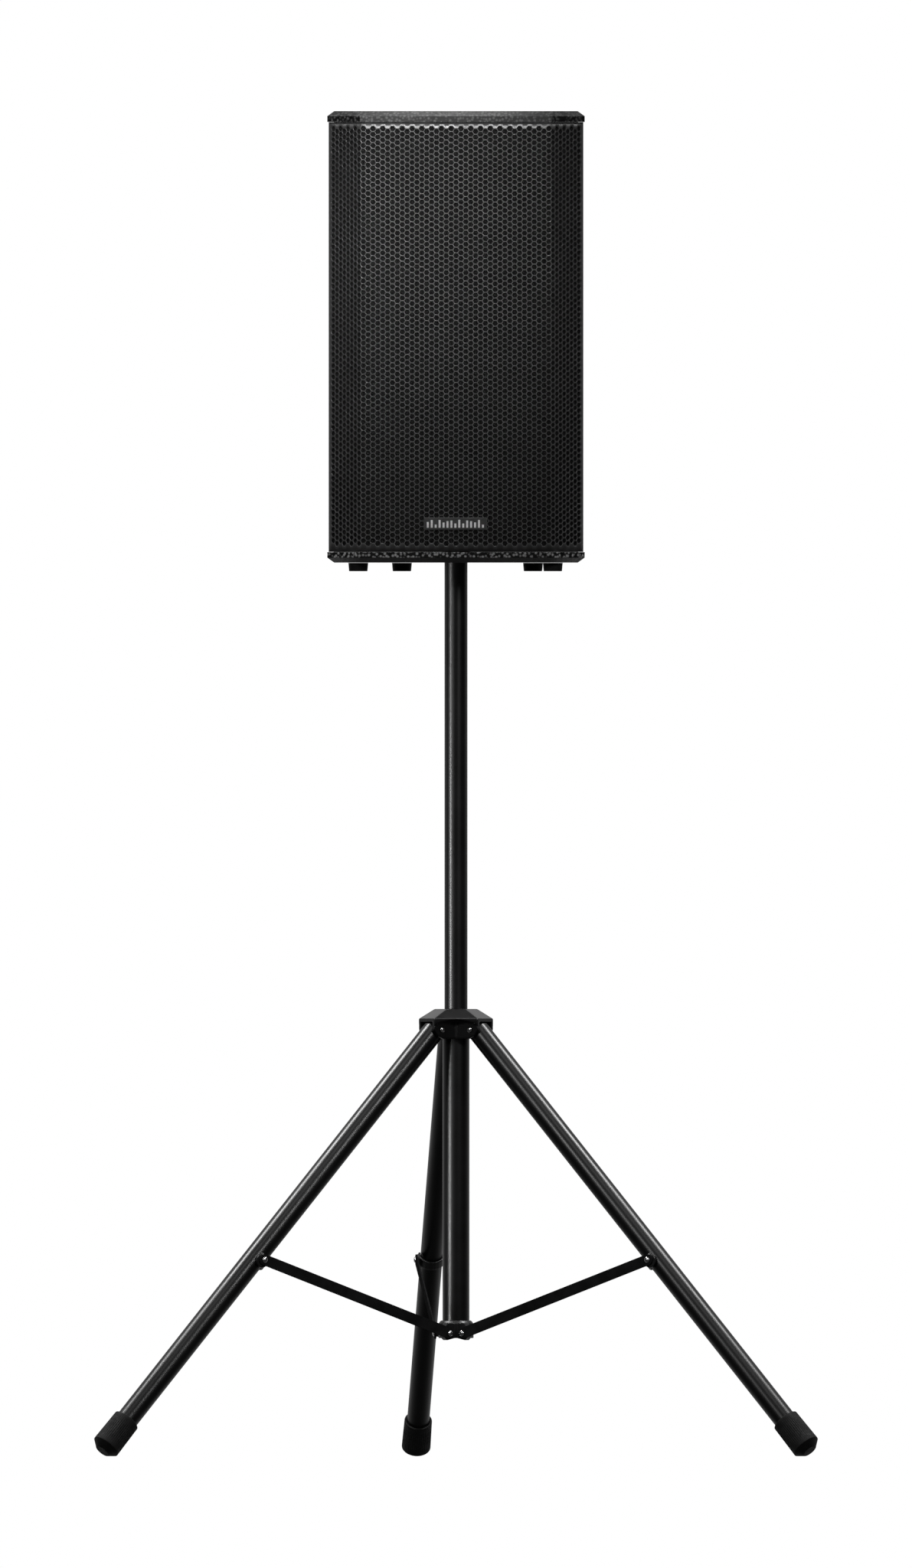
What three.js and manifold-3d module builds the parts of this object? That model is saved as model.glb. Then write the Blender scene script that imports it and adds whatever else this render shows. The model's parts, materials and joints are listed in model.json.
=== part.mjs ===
// Active PA speaker on a folding tripod stand.
// Millimetres, +Z up. The speaker faces -Y, and the stand's column stands on the Z direction.
// Until the last section everything is placed about the column's own axis; the finished
// object is then moved so that the middle of its footprint is the origin, with the floor at z = 0.

import * as THREE from 'three';
import { mergeVertices } from 'three/addons/utils/BufferGeometryUtils.js';
import { ConvexGeometry } from 'three/addons/geometries/ConvexGeometry.js';
import Module from 'manifold-3d';

const wasm = await Module();
wasm.setup();

// ---------------------------------------------------------------- driving dimensions

const GAP = 0.3;                     // clearance between pieces that touch
const FINE = 32;                     // sides of large round pieces
const PLAIN = 24;                    // sides of medium round pieces
const COARSE = 12;                   // sides of small round pieces
const CORNER = 4;                    // steps round the corner of a rounded rectangle

// stand
const POLE_RADIUS = 17.5;
const POLE_WALL = 1.8;
const POLE_BOTTOM = 540;
const COLUMN_RADIUS = 20.5;
const COLUMN_WALL = 2;
const COLUMN_BOTTOM = 182;
const YOKE_TOP = 681.6;
const YOKE_SHOULDER = 666.6;         // where the sloping roof of the yoke meets its rim
const YOKE_REACH = 52;               // from the column axis to the face of a lobe
const YOKE_HALF_WIDTH = 24;          // half the width of a lobe
const YOKE_FLAT = 27;                // reach of the flat part of the roof
const PIVOT_RADIUS = 38;             // leg hinge, from the column axis
const PIVOT_HEIGHT = 650;
const LEG_TILT = THREE.MathUtils.degToRad(42.3);
const LEG_RADIUS = 17;
const LEG_WALL = 1.6;
const LEG_START = 1.5;               // top of the leg tube, along the leg from its hinge
const FOOT_RADIUS = 22;
const FOOT_TOP_RADIUS = 21;
const FOOT_TIP_RADIUS = 11.5;
const FOOT_LENGTH = 54;              // the straight part of the rubber foot
const HUB_PIVOT_RADIUS = 24.5;
const HUB_PIVOT_HEIGHT = 187.1;
const STRUT_ALONG_LEG = 469.6;       // where a strut meets its leg, from the leg hinge
const STRUT_INSIDE_AXIS = 5;         // and how far inside the leg's own axis
const STRUT_HALF_HEIGHT = 8.35;
const STRUT_THICKNESS = 2.3;
const HUB_HALF_WIDTH = 22;           // half the width of a hub ear, and of a strut bracket

// one entry for each leg: the way it points, how far its hinge plane stands off the column
// axis, and the side of it that carries the strut
const LEGS = [
  { azimuth: THREE.MathUtils.degToRad(210), offset: 0, side: 1 },
  { azimuth: THREE.MathUtils.degToRad(330), offset: 0, side: -1 },
  { azimuth: THREE.MathUtils.degToRad(95.1), offset: 6, side: 1 },
];

// speaker cabinet
const CABINET_BOTTOM = 1361.7;
const CABINET_TOP = 2049.8;
const WALL_BOTTOM = 1377.8;
const WALL_TOP = 2033.2;
const CAP_OVERHANG = 2.1;
const CAP_BEVEL_HEIGHT = 7.6;
const CAP_BEVEL_INSET = 8.5;
const WALL = 15;
const FRONT_HALF_WIDTH = 145.7;
const BODY_HALF_WIDTH = 194;
const FRONT_Y = -185;
const FACET_Y = -142;
const SIDE_Y = -85;
const BACK_Y = 190;
const BACK_LEFT_X = -105;
const BACK_RIGHT_X = 150;
const GRILLE_SHEET = 1.5;
const FOAM = 6;
const BAFFLE_FRONT = -139.5;
const BAFFLE_BACK = -124.5;
const WALL_FRONT = -140.8;
const WOOFER_HEIGHT = 1560;
const HORN_HEIGHT = 1890;
const SOCKET_DEPTH = 95;             // how far the pole goes into the cabinet
const PANEL_X = (BACK_LEFT_X + BACK_RIGHT_X) / 2;

// ---------------------------------------------------------------- materials

const finish = (color, roughness, metalness) =>
  new THREE.MeshStandardMaterial({ color, roughness, metalness });

const POWDER_COAT = finish(0x161617, 0.35, 0.4);
const CAST_BLACK = finish(0x1b1b1d, 0.5, 0.3);
const TEXTURED_PAINT = finish(0x1d1d1e, 0.9, 0);
const GRILLE_PAINT = finish(0x2b2b2d, 0.55, 0.4);
const FOAM_BLACK = finish(0x0b0b0b, 1, 0);
const RUBBER = finish(0x141414, 0.85, 0);
const BRIGHT_STEEL = finish(0xc8cacc, 0.25, 1);
const BLACK_PLASTIC = finish(0x1a1a1b, 0.5, 0);
const PAPER_CONE = finish(0x222224, 0.8, 0);
const FERRITE = finish(0x3c3c40, 0.5, 0.6);
const ALUMINIUM = finish(0x2c2d30, 0.45, 0.8);
const CIRCUIT_GREEN = finish(0x1f4a2c, 0.6, 0.1);

// ---------------------------------------------------------------- shapes

// A solid for joining and cutting, from any closed geometry.
function solid(geometry) {
  const bare = new THREE.BufferGeometry();
  bare.setAttribute('position', geometry.attributes.position);
  bare.setIndex(geometry.index);
  const welded = mergeVertices(bare, 1e-4);
  const corners = welded.attributes.position;
  const order = welded.index.array;
  const triangles = [];
  const [a, b, c] = [new THREE.Vector3(), new THREE.Vector3(), new THREE.Vector3()];
  let volume = 0;
  for (let i = 0; i < order.length; i += 3) {
    const [p, q, r] = order.slice(i, i + 3);
    if (p === q || q === r || r === p) continue;
    triangles.push(p, q, r);
    a.fromBufferAttribute(corners, p);
    b.fromBufferAttribute(corners, q);
    c.fromBufferAttribute(corners, r);
    volume += a.dot(b.cross(c));
  }
  if (volume < 0) triangles.reverse();
  return new wasm.Manifold(new wasm.Mesh({
    numProp: 3,
    vertProperties: new Float32Array(corners.array),
    triVerts: new Uint32Array(triangles),
  }));
}

const join = (...parts) => parts.reduce((all, part) => all.add(part));
const cut = (body, ...tools) => tools.reduce((left, tool) => left.subtract(tool), body);

// Turned about Z: the profile holds [radius, z] pairs.
function turned(profile, sides) {
  const points = profile.map(([radius, z]) => new THREE.Vector2(radius, z));
  return new THREE.LatheGeometry(points, sides).rotateX(Math.PI / 2);
}

const rod = (radius, z0, z1, sides) =>
  turned([[0, z0], [radius, z0], [radius, z1], [0, z1]], sides);

const ring = (inner, outer, z0, z1, sides) =>
  turned([[inner, z0], [outer, z0], [outer, z1], [inner, z1], [inner, z0]], sides);

function shapeOf(points) {
  return new THREE.Shape(points.map(([x, y]) => new THREE.Vector2(x, y)));
}

// An XY outline raised from z0 to z1.
const prism = (points, z0, z1) =>
  new THREE.ExtrudeGeometry(shapeOf(points), { depth: z1 - z0, bevelEnabled: false })
    .translate(0, 0, z0);

// An XZ outline that runs from y0 to y1.
const slab = (shape, y0, y1, curveSegments = CORNER) =>
  new THREE.ExtrudeGeometry(shape, { depth: y1 - y0, bevelEnabled: false, curveSegments })
    .rotateX(Math.PI / 2)
    .translate(0, y1, 0);

const box = (x0, x1, y0, y1, z0, z1) =>
  new THREE.BoxGeometry(x1 - x0, y1 - y0, z1 - z0)
    .translate((x0 + x1) / 2, (y0 + y1) / 2, (z0 + z1) / 2);

// A rod along Y through (x, z).
const crossRod = (radius, x, z, y0, y1, sides) =>
  rod(radius, -y1, -y0, sides).rotateX(Math.PI / 2).translate(x, 0, z);

// A rounded rectangle in XZ, about its middle.
function roundedRectangle(width, height, radius, x = 0, z = 0) {
  const shape = new THREE.Shape();
  const [right, top] = [x + width / 2, z + height / 2];
  const [left, bottom] = [right - width, top - height];
  shape.moveTo(left + radius, bottom);
  shape.lineTo(right - radius, bottom);
  shape.absarc(right - radius, bottom + radius, radius, -Math.PI / 2, 0);
  shape.lineTo(right, top - radius);
  shape.absarc(right - radius, top - radius, radius, 0, Math.PI / 2);
  shape.lineTo(left + radius, top);
  shape.absarc(left + radius, top - radius, radius, Math.PI / 2, Math.PI);
  shape.lineTo(left, bottom + radius);
  shape.absarc(left + radius, bottom + radius, radius, Math.PI, Math.PI * 1.5);
  return shape;
}

// A capsule in XZ: a bar with round ends about two points.
function capsule(start, end, radius) {
  const angle = Math.atan2(end[1] - start[1], end[0] - start[0]);
  const shape = new THREE.Shape();
  shape.absarc(end[0], end[1], radius, angle - Math.PI / 2, angle + Math.PI / 2);
  shape.absarc(start[0], start[1], radius, angle + Math.PI / 2, angle + Math.PI * 1.5);
  shape.closePath();
  return shape;
}

// A convex outline moved outwards by a distance; its corners run anticlockwise.
function offsetOutline(points, distance) {
  const lines = points.map(([x0, y0], i) => {
    const [x1, y1] = points[(i + 1) % points.length];
    const length = Math.hypot(x1 - x0, y1 - y0);
    const normal = [(y1 - y0) / length, (x0 - x1) / length];
    return { normal, reach: normal[0] * x0 + normal[1] * y0 + distance };
  });
  return points.map((_, i) => {
    const before = lines[(i + points.length - 1) % points.length];
    const after = lines[i];
    const [[a, b], [c, d]] = [before.normal, after.normal];
    const spread = a * d - b * c;
    return [
      (before.reach * d - b * after.reach) / spread,
      (a * after.reach - before.reach * c) / spread,
    ];
  });
}

// ---------------------------------------------------------------- the scene graph

const object = new THREE.Group();

function groupAt(parent, x, y, z, turnY = 0, turnZ = 0) {
  const group = new THREE.Group();
  group.position.set(x, y, z);
  group.rotation.set(0, turnY, turnZ);
  parent.add(group);
  return group;
}

function addPiece(parent, name, body, material) {
  const made = body.getMesh();
  const geometry = new THREE.BufferGeometry();
  geometry.setAttribute('position', new THREE.BufferAttribute(made.vertProperties, 3));
  geometry.setIndex(new THREE.BufferAttribute(made.triVerts, 1));
  geometry.computeVertexNormals();
  const mesh = new THREE.Mesh(geometry, material);
  mesh.name = name;
  parent.add(mesh);
}

// Into a leg's own frame: X outwards along the leg's azimuth, Y sideways, Z up.
function inLegFrame(geometry, { azimuth, offset }) {
  return geometry.translate(0, offset, 0).rotateZ(azimuth);
}

// A rivet: a shank along Y, with a domed head at its far end.
const RIVET_DOME = 2.9;
const DOME_SHARES = [[1, 0.25], [0.92, 0.55], [0.7, 0.82], [0.38, 0.97]];  // of its radius and height
function rivetProfile(shank, shankStart, headStart, head) {
  const arc = DOME_SHARES.map(([out, up]) => [head * out, headStart + RIVET_DOME * up]);
  return [[0, shankStart], [shank, shankStart], [shank, headStart], [head, headStart],
    ...arc, [0, headStart + RIVET_DOME]];
}

// ---------------------------------------------------------------- column, yoke and pole

const CLAMP_AZIMUTH = THREE.MathUtils.degToRad(32.5);
const CLAMP_HEIGHT = 652;
const CLAMP_SCREW = 5;
const GRIP = { start: 36, end: 56, radius: 12, lobe: 1.5 };
const alongClamp = (geometry) => solid(geometry
  .rotateY(Math.PI / 2).rotateZ(CLAMP_AZIMUTH).translate(0, 0, CLAMP_HEIGHT));
const clampHole = alongClamp(rod(CLAMP_SCREW + GAP, POLE_RADIUS - 1, YOKE_REACH, COARSE));

const COLUMN_SUNK = 5.6;             // how far the column ends below the top of the yoke
const COLUMN_TOP = YOKE_TOP - COLUMN_SUNK;
addPiece(object, 'column_tube', cut(
  solid(ring(COLUMN_RADIUS - COLUMN_WALL, COLUMN_RADIUS, COLUMN_BOTTOM, COLUMN_TOP, FINE)),
  clampHole,
), POWDER_COAT);

const LEG_PIN_BORE = 3.5;
const LEG_PIN_RADIUS = 3.2;
const LEG_PIN_HEAD = 4.2;
const FLAT_INSET = 5;                // the flat of each lobe is narrower than the lobe by this at each side

function legYoke() {
  const SLEEVE = 27;
  const CHEEK_BOTTOM = 636;
  const RIM_BOTTOM = 656;
  const ARCH_RADIUS = 72;
  const ARCH_PEAK = 665;
  const SLOT_HALF_WIDTH = LEG_RADIUS + 0.8;
  const [CHEEK_REACH, CHIN_REACH, CHIN_HEIGHT, FACE_BOTTOM] = [36, 45, 640, 649.6];
  const [SLOT_BOTTOM, SLOT_REACH, SLOT_MOUTH, SLOT_STEP, SLOT_TOP] = [600, 80, 661.2, 46, 664.5];

  // the roofed cap: straight sides up to the shoulder, then a slope to the flat top
  const rimCorners = LEGS.flatMap(({ azimuth, offset }) => [-1, 1].map((side) =>
    new THREE.Vector3(YOKE_REACH, offset + side * YOKE_HALF_WIDTH, 0)
      .applyAxisAngle(new THREE.Vector3(0, 0, 1), azimuth)));
  const flatCorners = LEGS.flatMap(({ azimuth, offset }) => [-1, 1].map((side) =>
    new THREE.Vector3(YOKE_FLAT, offset + side * (YOKE_HALF_WIDTH - FLAT_INSET), 0)
      .applyAxisAngle(new THREE.Vector3(0, 0, 1), azimuth)));
  const cap = solid(new ConvexGeometry([
    ...rimCorners.map((p) => p.clone().setZ(RIM_BOTTOM)),
    ...rimCorners.map((p) => p.clone().setZ(YOKE_SHOULDER)),
    ...flatCorners.map((p) => p.clone().setZ(YOKE_TOP)),
  ]));

  // between each two lobes the rim is cut to a low arch
  const arches = LEGS.map((leg, i) => {
    const next = LEGS[(i + 1) % LEGS.length].azimuth;
    const span = THREE.MathUtils.euclideanModulo(next - leg.azimuth, Math.PI * 2);
    return solid(rod(ARCH_RADIUS, SLEEVE, YOKE_REACH * 2, FINE * 2).rotateY(Math.PI / 2)
      .translate(0, 0, ARCH_PEAK - ARCH_RADIUS).rotateZ(leg.azimuth + span / 2));
  });

  const lobeOutline = shapeOf([[0, CHEEK_BOTTOM], [CHEEK_REACH, CHEEK_BOTTOM],
    [CHIN_REACH, CHIN_HEIGHT], [YOKE_REACH, FACE_BOTTOM], [YOKE_REACH, YOKE_SHOULDER],
    [0, YOKE_SHOULDER]]);
  const slotOutline = shapeOf([[0, SLOT_BOTTOM], [SLOT_REACH, SLOT_BOTTOM],
    [SLOT_REACH, SLOT_MOUTH], [YOKE_REACH, SLOT_MOUTH], [SLOT_STEP, SLOT_TOP], [0, SLOT_TOP]]);
  const lobes = LEGS.map((leg) => solid(inLegFrame(
    slab(lobeOutline, -YOKE_HALF_WIDTH, YOKE_HALF_WIDTH), leg)));
  const slots = LEGS.map((leg) => solid(inLegFrame(
    slab(slotOutline, -SLOT_HALF_WIDTH, SLOT_HALF_WIDTH), leg)));
  const pinHoles = LEGS.map((leg) => solid(inLegFrame(
    crossRod(LEG_PIN_BORE, PIVOT_RADIUS, PIVOT_HEIGHT, -YOKE_REACH, YOKE_REACH, COARSE), leg)));

  const body = join(cut(cap, ...arches), ...lobes,
    solid(rod(SLEEVE, CHEEK_BOTTOM, YOKE_SHOULDER, FINE)));
  return cut(body,
    solid(rod(COLUMN_RADIUS + GAP, CHEEK_BOTTOM - 1, COLUMN_TOP + GAP, FINE)),
    solid(rod(POLE_RADIUS + GAP, CHEEK_BOTTOM, YOKE_TOP + 1, FINE)),
    ...slots, ...pinHoles, clampHole,
    alongClamp(rod(GRIP.radius + GRIP.lobe + 1, GRIP.start - 1, YOKE_REACH * 2, FINE)));
}
addPiece(object, 'leg_yoke', legYoke(), POWDER_COAT);

const POLE_TOP = CABINET_BOTTOM + SOCKET_DEPTH;
const END_CAP = { stem: POLE_RADIUS - POLE_WALL - GAP, rim: POLE_RADIUS - 0.2, length: 20, lip: 3 };
addPiece(object, 'pole_tube', solid(
  ring(POLE_RADIUS - POLE_WALL, POLE_RADIUS, POLE_BOTTOM, POLE_TOP - END_CAP.lip - GAP, FINE),
), POWDER_COAT);
addPiece(object, 'pole_end_cap', solid(turned([
  [0, POLE_TOP - END_CAP.length], [END_CAP.stem, POLE_TOP - END_CAP.length],
  [END_CAP.stem, POLE_TOP - END_CAP.lip], [END_CAP.rim, POLE_TOP - END_CAP.lip],
  [END_CAP.rim, POLE_TOP], [0, POLE_TOP],
], PLAIN)), BLACK_PLASTIC);

// the clamp knob: a five-lobed grip on a screw that reaches the pole through the yoke
function clampKnob() {
  const [LOBES, STEPS] = [5, 40];
  const outline = [];
  for (let i = 0; i < STEPS; i += 1) {
    const angle = (i / STEPS) * Math.PI * 2;
    const radius = GRIP.radius + GRIP.lobe * Math.cos(LOBES * angle);
    outline.push([radius * Math.cos(angle), radius * Math.sin(angle)]);
  }
  return join(
    solid(prism(outline, GRIP.start, GRIP.end)),
    solid(rod(CLAMP_SCREW, POLE_RADIUS + GAP, GRIP.start + 5, COARSE)),
    solid(turned([[0, GRIP.end - 4], [8, GRIP.end - 4], [6.5, GRIP.end + 2], [0, GRIP.end + 2]],
      COARSE)),
  );
}
addPiece(
  groupAt(groupAt(object, 0, 0, CLAMP_HEIGHT, 0, CLAMP_AZIMUTH), 0, 0, 0, Math.PI / 2),
  'pole_clamp_knob', clampKnob(), BLACK_PLASTIC);

// ---------------------------------------------------------------- spreader hub

const HUB_PIN_RADIUS = 3;
const HUB_PIN_HEAD = 4.4;
const HOLE_START = 11;               // inner end of the pin holes in the ears

function spreaderHub() {
  const [COLLAR, COLLAR_TOP, COLLAR_BOTTOM] = [26.8, 205, 180];
  const [EAR_START, EAR_ROOT, EAR_BEND, EAR_REACH] = [9, 14, 28, 32];
  const [EAR_LOWEST, EAR_SHOULDER, EAR_TOP, REAR_EAR_BOTTOM] = [176.7, 195, 203, 182];
  const earTop = [[EAR_REACH, EAR_SHOULDER], [EAR_BEND, EAR_TOP], [EAR_ROOT, EAR_TOP]];
  const frontEar = shapeOf([[EAR_ROOT, COLLAR_BOTTOM], [EAR_BEND, EAR_LOWEST],
    [EAR_REACH, COLLAR_BOTTOM + 0.5], ...earTop]);
  const rearEar = shapeOf([[EAR_ROOT, REAR_EAR_BOTTOM], [EAR_REACH, REAR_EAR_BOTTOM], ...earTop]);
  const collar = solid(turned([[0, COLLAR_BOTTOM], [COLLAR, COLLAR_BOTTOM],
    [COLLAR, COLLAR_TOP - 3], [COLLAR - 2, COLLAR_TOP], [COLLAR - 4, COLLAR_TOP + 2],
    [0, COLLAR_TOP + 2]], FINE));
  const ears = LEGS.map((leg) => solid(inLegFrame(
    slab(leg.offset === 0 ? frontEar : rearEar,
      leg.side > 0 ? EAR_START : -HUB_HALF_WIDTH, leg.side > 0 ? HUB_HALF_WIDTH : -EAR_START),
    leg)));
  const holes = LEGS.map((leg) => solid(inLegFrame(
    crossRod(HUB_PIN_RADIUS + GAP, HUB_PIVOT_RADIUS, HUB_PIVOT_HEIGHT,
      leg.side > 0 ? HOLE_START : -YOKE_REACH, leg.side > 0 ? YOKE_REACH : -HOLE_START,
      COARSE), leg)));
  return cut(join(collar, ...ears),
    solid(rod(COLUMN_RADIUS + GAP, EAR_LOWEST - 1, EAR_TOP * 2, FINE)), ...holes);
}
addPiece(object, 'spreader_hub', spreaderHub(), CAST_BLACK);

// ---------------------------------------------------------------- the three legs

const along = (s, inside) => [
  PIVOT_RADIUS + s * Math.sin(LEG_TILT) - inside * Math.cos(LEG_TILT),
  PIVOT_HEIGHT - s * Math.cos(LEG_TILT) - inside * Math.sin(LEG_TILT),
];
// the cone at the tip of the foot has one edge that lies flat on the floor
const FOOT_EDGE = (PIVOT_HEIGHT - FOOT_RADIUS * Math.sin(LEG_TILT)) / Math.cos(LEG_TILT);
const FOOT_TIP = (PIVOT_HEIGHT - FOOT_TIP_RADIUS * Math.sin(LEG_TILT)) / Math.cos(LEG_TILT);
const FOOT_START = FOOT_EDGE - FOOT_LENGTH;
const LEG_END = FOOT_EDGE - 4;
const STRUT_FACE = HUB_HALF_WIDTH + GAP;          // inner face of a strut, off its leg's plane

function legTube() {
  return cut(solid(ring(LEG_RADIUS - LEG_WALL, LEG_RADIUS, LEG_START, LEG_END, PLAIN)),
    solid(crossRod(LEG_PIN_BORE + 0.1, 0, 0, -LEG_RADIUS * 2, LEG_RADIUS * 2, COARSE)));
}

// a moulded lug that closes the top of the tube and turns on the hinge pin
function legInsert() {
  const [LUG, SHOULDER, REACH] = [13.5, 6, 40];
  const outline = shapeOf([[LEG_RADIUS, SHOULDER], [LEG_RADIUS, REACH], [-LEG_RADIUS, REACH],
    [-LEG_RADIUS, SHOULDER],
    ...Array.from({ length: COARSE + 1 }, (_, i) => {
      const angle = Math.PI + (i / COARSE) * Math.PI;
      return [LUG * Math.cos(angle), LUG * Math.sin(angle)];
    })]);
  const stock = solid(rod(LEG_RADIUS - LEG_WALL - GAP, -LUG, REACH, PLAIN));
  return cut(stock.intersect(solid(slab(outline, -LEG_RADIUS, LEG_RADIUS))),
    solid(crossRod(LEG_PIN_BORE, 0, 0, -LEG_RADIUS, LEG_RADIUS, COARSE)));
}

function legFoot() {
  const bore = LEG_RADIUS + GAP;
  return solid(turned([[0, FOOT_TIP], [FOOT_TIP_RADIUS, FOOT_TIP], [FOOT_RADIUS, FOOT_EDGE],
    [FOOT_TOP_RADIUS, FOOT_START], [bore, FOOT_START], [bore, LEG_END + GAP],
    [0, LEG_END + GAP]], PLAIN));
}

// a saddle on the inner side of the leg, with an ear for the strut
function strutBracket(side) {
  const [SADDLE, HALF_LENGTH, EAR, EAR_START] = [20.6, 7.7, 10.5, 10];
  const saddle = cut(
    solid(ring(LEG_RADIUS + GAP, SADDLE, STRUT_ALONG_LEG - HALF_LENGTH,
      STRUT_ALONG_LEG + HALF_LENGTH, PLAIN)),
    solid(box(-SADDLE * 2, -4, -SADDLE * 2, SADDLE * 2, 0, FOOT_START)));
  const ear = solid(crossRod(EAR, STRUT_INSIDE_AXIS - 1, STRUT_ALONG_LEG + 3,
    side > 0 ? EAR_START : -HUB_HALF_WIDTH, side > 0 ? HUB_HALF_WIDTH : -EAR_START, PLAIN));
  return cut(join(saddle, ear),
    solid(rod(LEG_RADIUS + GAP, 0, FOOT_START, PLAIN)));
}

LEGS.forEach((leg, i) => {
  const { side } = leg;
  const number = i + 1;
  const plane = groupAt(object, -leg.offset * Math.sin(leg.azimuth),
    leg.offset * Math.cos(leg.azimuth), 0, 0, leg.azimuth);
  const axis = groupAt(plane, PIVOT_RADIUS, 0, PIVOT_HEIGHT, Math.PI - LEG_TILT);
  addPiece(axis, `leg_tube_${number}`, legTube(), POWDER_COAT);
  addPiece(axis, `leg_insert_${number}`, legInsert(), BLACK_PLASTIC);
  addPiece(axis, `leg_foot_${number}`, legFoot(), RUBBER);
  addPiece(axis, `strut_bracket_${number}`, strutBracket(side), CAST_BLACK);

  const headStart = YOKE_HALF_WIDTH + GAP;
  const pinHalf = (turn) => solid(turned(
    rivetProfile(LEG_PIN_RADIUS, -1, headStart, LEG_PIN_HEAD), COARSE)
    .rotateX(turn).translate(PIVOT_RADIUS, 0, PIVOT_HEIGHT));
  addPiece(plane, `leg_pin_${number}`, join(pinHalf(Math.PI / 2), pinHalf(-Math.PI / 2)),
    BRIGHT_STEEL);

  const hubEnd = [HUB_PIVOT_RADIUS, HUB_PIVOT_HEIGHT];
  const legEnd = along(STRUT_ALONG_LEG, STRUT_INSIDE_AXIS);
  const [inner, outer] = [STRUT_FACE, STRUT_FACE + STRUT_THICKNESS];
  const bar = capsule(hubEnd, legEnd, STRUT_HALF_HEIGHT);
  const hole = crossRod(HUB_PIN_RADIUS + GAP, ...hubEnd, -YOKE_REACH, YOKE_REACH, COARSE);
  addPiece(plane, `strut_${number}`, cut(
    solid(side > 0 ? slab(bar, inner, outer, COARSE) : slab(bar, -outer, -inner, COARSE)),
    solid(hole)), POWDER_COAT);

  const pin = turned(
    rivetProfile(HUB_PIN_RADIUS, HOLE_START + 1, outer + GAP, HUB_PIN_HEAD), COARSE)
    .rotateX(side > 0 ? -Math.PI / 2 : Math.PI / 2)
    .translate(HUB_PIVOT_RADIUS, 0, HUB_PIVOT_HEIGHT);
  addPiece(plane, `hub_pin_${number}`, solid(pin), BRIGHT_STEEL);
});

// ---------------------------------------------------------------- cabinet

// the plan of the cabinet, anticlockwise from the front left bend
const PLAN = [
  [-FRONT_HALF_WIDTH, FRONT_Y], [FRONT_HALF_WIDTH, FRONT_Y],
  [BODY_HALF_WIDTH, FACET_Y], [BODY_HALF_WIDTH, SIDE_Y],
  [BACK_RIGHT_X, BACK_Y], [BACK_LEFT_X, BACK_Y],
  [-BODY_HALF_WIDTH, SIDE_Y], [-BODY_HALF_WIDTH, FACET_Y],
];
const [FRONT_LEFT, FRONT_RIGHT, FACET_RIGHT, SIDE_RIGHT, BACK_RIGHT, BACK_LEFT, SIDE_LEFT,
  FACET_LEFT] = PLAN.keys();
const INNER_PLAN = offsetOutline(PLAN, -WALL);

// a thick panel with its outer long edges bevelled, from its inner face to its outer one
function capPanel(innerZ, outerZ) {
  const up = Math.sign(outerZ - innerZ);
  const ringAt = (distance, z) => offsetOutline(PLAN, distance)
    .map(([x, y]) => new THREE.Vector3(x, y, z));
  return solid(new ConvexGeometry([
    ...ringAt(CAP_OVERHANG, innerZ),
    ...ringAt(CAP_OVERHANG, outerZ - up * CAP_BEVEL_HEIGHT),
    ...ringAt(-CAP_BEVEL_INSET, outerZ),
  ]));
}

const SOCKET_RADIUS = POLE_RADIUS + GAP;
const SOCKET_OUTER = SOCKET_RADIUS + 2.2;
addPiece(object, 'top_panel', capPanel(WALL_TOP, CABINET_TOP), TEXTURED_PAINT);
addPiece(object, 'bottom_panel', cut(capPanel(WALL_BOTTOM, CABINET_BOTTOM),
  solid(rod(SOCKET_OUTER + GAP, CABINET_BOTTOM - 1, WALL_BOTTOM + 1, FINE))), TEXTURED_PAINT);

// carrying handles: a dished cup in each side wall, with a bar to grip across its top
const HANDLE_HEIGHT = 1757;
const CUP = { width: 140, height: 72, depth: 42, wall: 2.5, corner: 10, flange: 17, rim: 3.5 };
const GRIP_BAR = { height: 22, corner: 8, above: 14, depth: 14, out: 2.5 };
function wallFrame(a, b) {
  const [x0, y0] = PLAN[a];
  const [x1, y1] = PLAN[b];
  return { x: (x0 + x1) / 2, y: (y0 + y1) / 2, turn: Math.atan2(x0 - x1, y1 - y0) };
}
const handleFrames = {
  right: wallFrame(SIDE_RIGHT, BACK_RIGHT),
  left: wallFrame(BACK_LEFT, SIDE_LEFT),
};
const onWall = (geometry, { x, y, turn }) => geometry.rotateZ(turn).translate(x, y, HANDLE_HEIGHT);
// outlines drawn in the wall's face: X' runs along the wall and Z up; Y' is the way out of it
const faceSlab = (shape, out0, out1) => slab(shape, -out1, -out0).rotateZ(Math.PI / 2);

function sideWall(corners, innerCorners, frame) {
  const plan = [...corners, ...innerCorners];
  const opening = faceSlab(roundedRectangle(CUP.width + 2 * (CUP.wall + GAP),
    CUP.height + 2 * (CUP.wall + GAP), CUP.corner + 2), -WALL * 2, WALL);
  return cut(solid(prism(plan, WALL_BOTTOM + GAP, WALL_TOP - GAP)),
    solid(onWall(opening, frame)));
}

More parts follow.
